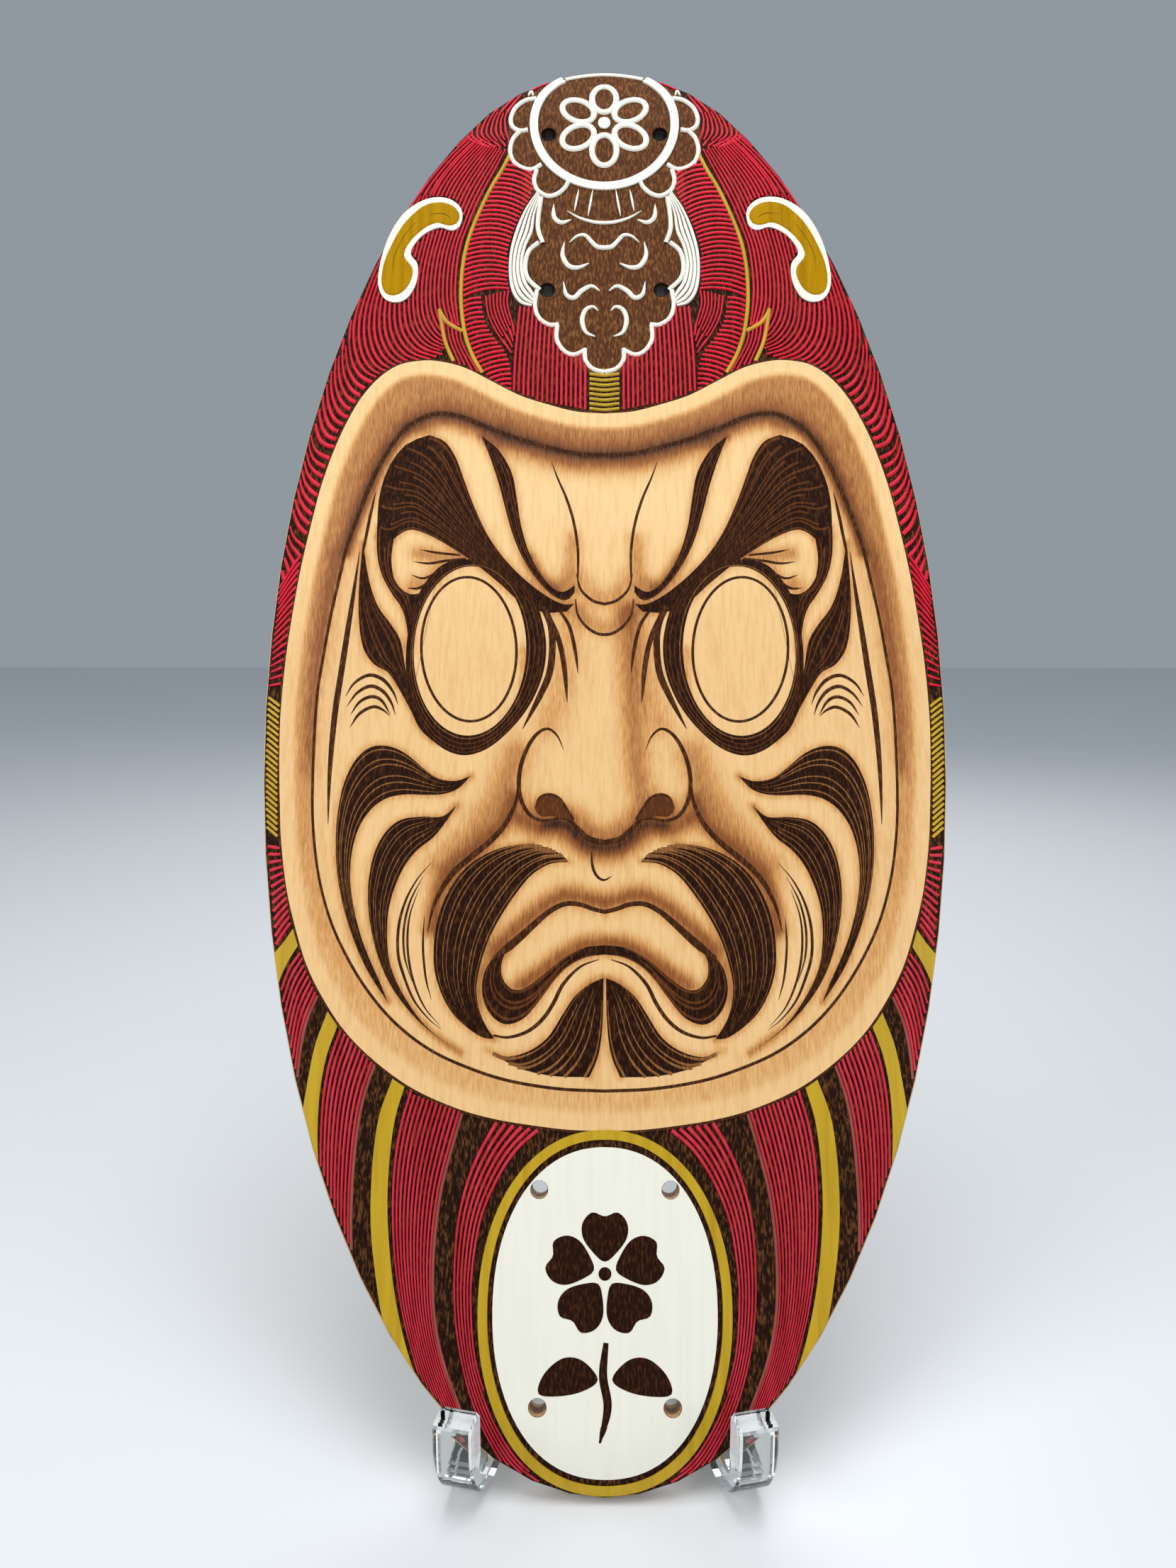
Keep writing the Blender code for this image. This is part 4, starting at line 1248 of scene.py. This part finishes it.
PHILTRUM = [(-4.4, -48.6), (-4.0, -53.6), (-2.6, -56.8), (-0.2, -58.2), (2.4, -56.8)]

# Toasted shading: points of the left half, reach in millimetres, and strength.
SHADING = [
    ([(0, 91), (-10, 91.6), (-20, 94), (-30, 97), (-40, 101), (-50, 105.6), (-57, 107.2),
      (-63, 106.5), (-70, 102.5)], 1.7, 1.0),
    ([(0, 89.5), (-12, 90), (-24, 93.5), (-36, 98)], 5.0, 0.62),
    ([(-36, 98), (-46, 102), (-56, 105), (-65, 103)], 3.4, 0.5),
    ([(-70, 102.5), (-75, 96.5), (-80, 87.5), (-84, 77.5), (-87.5, 67.5), (-90.5, 57)], 2.4, 0.85),
    ([(-64, 104), (-72, 97), (-78, 87), (-82, 76)], 4.0, 0.12),
    ([(-29.5, -16), (-33, -26), (-38, -36), (-46, -46), (-54, -54)], 5.6, 0.4),
    ([(-30, -31), (-33.4, -39), (-41, -46.6), (-49, -53.4), (-54.6, -62), (-57, -74)], 3.2, 0.62),
    ([(0, -47.6), (-5, -46.6), (-9.4, -43.2), (-13.4, -39.6), (-20, -40)], 2.0, 0.9),
    ([(0, -49), (-5, -48), (-10, -44.6), (-15, -41.2), (-22, -41), (-27, -38)], 4.2, 0.6),
    ([(0, -43), (-5, -41.4), (-9.6, -37.4)], 3.8, 0.42),
    ([(-21.5, -34.6), (-18.6, -33.4), (-14.6, -35.6)], 4.0, 0.5),
    ([(0, -65.8), (-6, -64.2), (-12, -63), (-18, -65.4), (-24, -70), (-30, -75.4),
      (-35.4, -80.4)], 3.5, 0.62),
    ([(0, -78.4), (-7, -79), (-14, -82.6), (-20, -87), (-27, -91.8)], 2.9, 0.58),
    ([(0, 38.6), (-5, 40.6), (-8.2, 45)], 4.2, 0.3),
    ([(0, 27.6), (-5, 30), (-8.4, 34)], 3.2, 0.34),
    ([(-10.8, 60), (-11.5, 50), (-14, 44)], 3.2, 0.34),
    ([(-26, 53), (-22, 46), (-17, 42.4)], 2.8, 0.5),
    ([(-12, 33), (-12.6, 20), (-15, 6), (-19, -6)], 5.5, 0.22),
    ([(-27.4, 20), (-27.6, 4), (-34, -6)], 2.0, 0.3),
    ([(-64.6, 55.6), (-56, 54.2), (-49, 53.6)], 3.0, 0.42),
    ([(-66, 44), (-61, 44.6), (-57, 49)], 3.4, 0.4),
    ([(-94, 56), (-97, 40), (-99, 20), (-100.6, 2), (-100.6, -20)], 2.6, 0.3),
    ([(-4, -92), (-8, -96)], 2.6, 0.3),
    ([(-37, -84), (-41.5, -90), (-41.5, -97)], 2.6, 0.28),
]
SHADING += [(edge, 1.3, 0.26) for shape in HAIR_SHAPES for edge in shape[:2]]
NOSE_SHADE = curve([(8, 34), (8.6, 20), (9.2, 6), (10, -8), (11, -20), (12.4, -30)], step=3.0)

# The frame round the face: its clean rim, and its tones at these heights, from the bottom up.
RIM_WIDTH = 5.0
RIM_FADE = 2.0
TONE_HEIGHTS = [-130, -60, 20, 70, 110]
FRAME_TONES = [0.12, 0.2, 0.33, 0.44, 0.47]

# The wash along the frame's inner edge.
WASH_HEIGHTS = [-120, -30, 60, 100]
WASH_TONES = [0.05, 0.12, 0.3, 0.34]


def face_burn_and_shade(uv):
    """How toasted the panel is at each point, 0 to 1, with painted shade over the face below the
    forehead.
    """
    left = np.column_stack([-np.abs(uv[:, 0]), uv[:, 1]])
    from_edge = distance(left, np.vstack([FRAME_EDGE, FRAME_EDGE[:1]]))
    on_frame = ~inside(left, whole(INNER_EDGE))
    tone = np.interp(left[:, 1], TONE_HEIGHTS, FRAME_TONES)
    shelf = np.clip((from_edge - RIM_WIDTH) / RIM_FADE, 0, 1) * tone
    clear = 1 - np.where(on_frame, shelf, 0.0)
    near_inner = distance(left, curve(INNER_EDGE))
    wash = np.interp(left[:, 1], WASH_HEIGHTS, WASH_TONES)
    clear *= 1 - wash * np.exp(-((near_inner / 6.0) ** 2)) * np.where(on_frame, 1.0, 0.55)
    for points, reach, strength in SHADING:
        away = distance(left, curve(points, step=2.5))
        clear *= 1 - strength * np.exp(-((away / reach) ** 2))
    beside_nose = np.exp(-((distance(uv, NOSE_SHADE) / 4.5) ** 2))
    clear *= 1 - 0.44 * np.where(uv[:, 0] > 0, beside_nose, 0.0)
    # Painted shade: the face below the forehead is darkened, as if the forehead caught more light.
    clear *= np.interp(uv[:, 1], [-60, 20, 75], [0.93, 0.92, 1.0])
    return 1 - clear


def face_panel():
    relief = Relief()
    relief.plate(FRAME_EDGE, FACE_LIFT, pitch=1.2)
    relief.build("face_panel", TAN, burn=face_burn_and_shade)


def eye_rings(count=120):
    """The inner and outer edge of the burnt ring round the eye, point for point."""
    ring = resample(np.vstack([EYE_RING, EYE_RING[:1]]), count + 1)[:-1]
    direction = (ring - EYE_MIDDLE) / EYE_SOCKET
    direction /= np.linalg.norm(direction, axis=1, keepdims=True)
    return np.array(EYE_MIDDLE) + direction * EYE_SOCKET, ring


def face_hair():
    relief = Relief(floor=FACE_LIFT)
    for edge_a, edge_b, start, *_ in HAIR_SHAPES:
        a, b = curve(edge_a), curve(edge_b)
        fan = None if start is None else curve(start)
        relief.patch(a, b, LINE_LIFT, fan)
        fan = None if start is None else mirrored(fan)[::-1]
        relief.patch(mirrored(b), mirrored(a), LINE_LIFT, fan)
    socket, ring = eye_rings()
    lines = np.stack([socket + (ring - socket) * share for share in np.linspace(0, 1, 5)], 1)
    for side in (lines, lines[:, ::-1] * (-1, 1)):
        relief.grid(side[..., 0], side[..., 1], np.full(side.shape[:2], LINE_LIFT + 0.01), wrap=True)
    for side in both(curve(UNDER_EAR, closed=True, step=0.8)):
        relief.plate(side, LINE_LIFT + 0.005, pitch=1.5)
    relief.build("face_hair_shapes", HAIR)


def face_lines():
    relief = Relief(floor=FACE_LIFT - 0.02)
    for points, width, tips in FACE_LINES:
        relief.stroke_pair(points, 0.9, width, STROKE_LIFT, tips)
    relief.stroke(curve(PHILTRUM, step=0.9), 1.1, STROKE_LIFT, (0.5, 0.1))
    upper = curve(UPPER_LIP, step=0.9)
    upper = np.vstack([upper[::-1], mirrored(upper[1:])])
    width = np.interp(np.abs(upper[:, 0]), [0, 18, 31, 35.6], [1.5, 1.9, 3.0, 1.6])
    relief.strip(upper, width, LINE_LIFT + 0.05)
    inner = curve(INNER_EDGE, step=1.5)
    width = np.interp(inner[:, 1], [-125, -60, 40, 80, 95], [1.3, 1.2, 1.4, 2.0, 2.0])
    for side in both(inner):
        relief.strip(side, width, LINE_LIFT)
    for side in both(EYEBALL):
        relief.strip(side, 1.05, STROKE_LIFT, closed=True)
    relief.strip(FRAME_EDGE, 1.1, FACE_LIFT + 0.04, closed=True)
    relief.build("face_burnt_lines", INK)


def hair_lines(relief, shape, thickness):
    """Hairs along a burnt shape, thicker at their root where the shape splits into tips."""
    edge_a, edge_b, start, count, open_ends = shape
    a, b = curve(edge_a), curve(edge_b)
    fan = None if start is None else curve(start)
    points = max(10, int(max(length(a), length(b)) / 1.3))
    room = spacing(a, b, points)
    if fan is not None:
        room = np.maximum(room, length(fan) * np.linspace(1, 0, points) ** 2)
    root = 1 + open_ends * np.exp(-np.linspace(0, 1, points) / 0.07)
    for index in range(count):
        share = (index + 0.5 + 0.22 * math.sin(index * 2.4)) / count
        path = between(a, b, share, fan, points)
        first = 0 if open_ends else int(points * (0.02 + 0.05 * (index * 2 % 3)))
        last = int(points * (0.97 - 0.08 * (index * 3 % 4)))
        width = np.clip((room / count * thickness - 0.1) * root, 0.04, 1.2)[first:last]
        for side in both(path[first:last]):
            relief.strip(side, width, HAIR_LIFT)


def dark_ridges():
    """The toasted ridges that fill the brows, the eye rings and the darker shapes, and the nostrils."""
    relief = Relief(floor=LINE_LIFT)
    hair_lines(relief, BROW, 0.5)
    for shape in DARK_HAIRED:
        hair_lines(relief, shape, 0.36)
    for side in both(curve(NOSTRIL, closed=True, step=0.8)):
        relief.plate(side, LINE_LIFT + 0.02, pitch=1.5)
    socket, ring = eye_rings()
    for share, least in ((0.42, 2.6), (0.66, 3.2), (0.86, 4.2)):
        path = socket + (ring - socket) * share
        wide = np.linalg.norm(ring - socket, axis=1) > least
        start = int(np.argmin(wide))
        shown = np.roll(path, -start, axis=0)[np.roll(wide, -start)]
        for side in both(shown):
            relief.stroke(side, 0.55, HAIR_LIFT)
    relief.build("face_dark_ridges", RIDGE)


def face_strands():
    """Pale hairs left standing in the burnt shapes."""
    relief = Relief(floor=LINE_LIFT)
    for shape in PALE_HAIRED:
        hair_lines(relief, shape, 0.24)
    socket, ring = eye_rings()
    for side in both(socket + (ring - socket) * 0.16):
        relief.strip(side, 0.4, LINE_LIFT + 0.07, closed=True)
    relief.build("face_pale_strands", STRAND)


# ---------------------------------------------------------------- CAD pieces' finishes


def finish_cad():
    for name in frame["nodes"]:
        piece = bpy.data.objects[name]
        if name == "ply_1_engraved_face":
            finish = BURNT
        elif name.startswith("ply_"):
            finish = DARK_PLY if "cross" in name else PALE_PLY
        elif name.endswith("_arm"):
            finish = CLEAR
        else:
            finish = STEEL
        for material_slot in piece.material_slots:
            material_slot.material = finish


# ---------------------------------------------------------------- stage


# The camera's place and aim in the deck's own directions: across, along and out of its face.
CAMERA_PLACE = (-3.5, -91.4, 373.5)
CAMERA_AIM = (-0.00543, 0.17244, -0.985)
FOCAL_LENGTH = 26.04
SENSOR = 36.0
FLOOR_SIZE = 6.0
LIT_PLACE = (0, 0, 0.24)


def deck_direction(across, along, out):
    return ACROSS * across + ALONG * along + OUT * out


def add_camera():
    data = bpy.data.cameras.new("camera")
    data.lens = FOCAL_LENGTH
    data.sensor_width = SENSOR
    data.sensor_height = SENSOR
    data.clip_start = 0.01
    camera = bpy.data.objects.new("camera", data)
    bpy.context.scene.collection.objects.link(camera)
    aim = deck_direction(*CAMERA_AIM).normalized()
    side = aim.cross(Vector((0, 0, 1))).normalized()
    up = side.cross(aim)
    turn = Matrix((side, up, -aim)).transposed().to_4x4()
    place = DECK_MIDDLE + deck_direction(*CAMERA_PLACE) * MM
    camera.matrix_world = Matrix.Translation(place) @ turn
    bpy.context.scene.camera = camera


def add_light(name, place, size, power, colour=(1.0, 1.0, 1.0)):
    data = bpy.data.lights.new(name, "AREA")
    data.size = size
    data.energy = power
    data.color = colour
    lamp = bpy.data.objects.new(name, data)
    lamp.location = place
    lamp.rotation_euler = (Vector(LIT_PLACE) - Vector(place)).to_track_quat("-Z", "Y").to_euler()
    bpy.context.scene.collection.objects.link(lamp)


def add_floor():
    mesh = bpy.data.meshes.new("floor")
    half = FLOOR_SIZE / 2
    corners = [(-half, -half, 0), (half, -half, 0), (half, half, 0), (-half, half, 0)]
    mesh.from_pydata(corners, [], [(0, 1, 2, 3)])
    made, nodes, _ = new_material("pale_floor")
    nodes["Principled BSDF"].inputs["Base Color"].default_value = (0.72, 0.74, 0.76, 1.0)
    nodes["Principled BSDF"].inputs["Roughness"].default_value = 0.35
    mesh.materials.append(made)
    floor = bpy.data.objects.new("floor", mesh)
    bpy.context.scene.collection.objects.link(floor)


def add_world():
    world = bpy.data.worlds.new("studio")
    world.use_nodes = True
    background = world.node_tree.nodes["Background"]
    background.inputs["Color"].default_value = (0.62, 0.70, 0.78, 1.0)
    background.inputs["Strength"].default_value = 0.45
    bpy.context.scene.world = world


def build_stage():
    bpy.context.scene.view_settings.view_transform = "Standard"
    add_camera()
    add_floor()
    add_world()
    add_light("key", (-1.1, -0.8, 1.0), 0.8, 10.5, (1.0, 0.98, 0.95))
    add_light("fill", (1.15, -0.8, 0.6), 0.9, 7.2, (0.97, 0.98, 1.0))
    add_light("overhead", (0.0, -0.3, 1.5), 0.8, 12.0)
    add_light("rim", (0.2, 0.9, 0.9), 0.7, 4.0)


build_stage()
finish_cad()
hood_ribs()
robe_ribs()
robe_seams()
gold_work()
blob_rims()
gold_blobs()
gold_creases()
white_work()
white_oval()
oval_blossom()
face_panel()
face_hair()
dark_ridges()
face_lines()
face_strands()
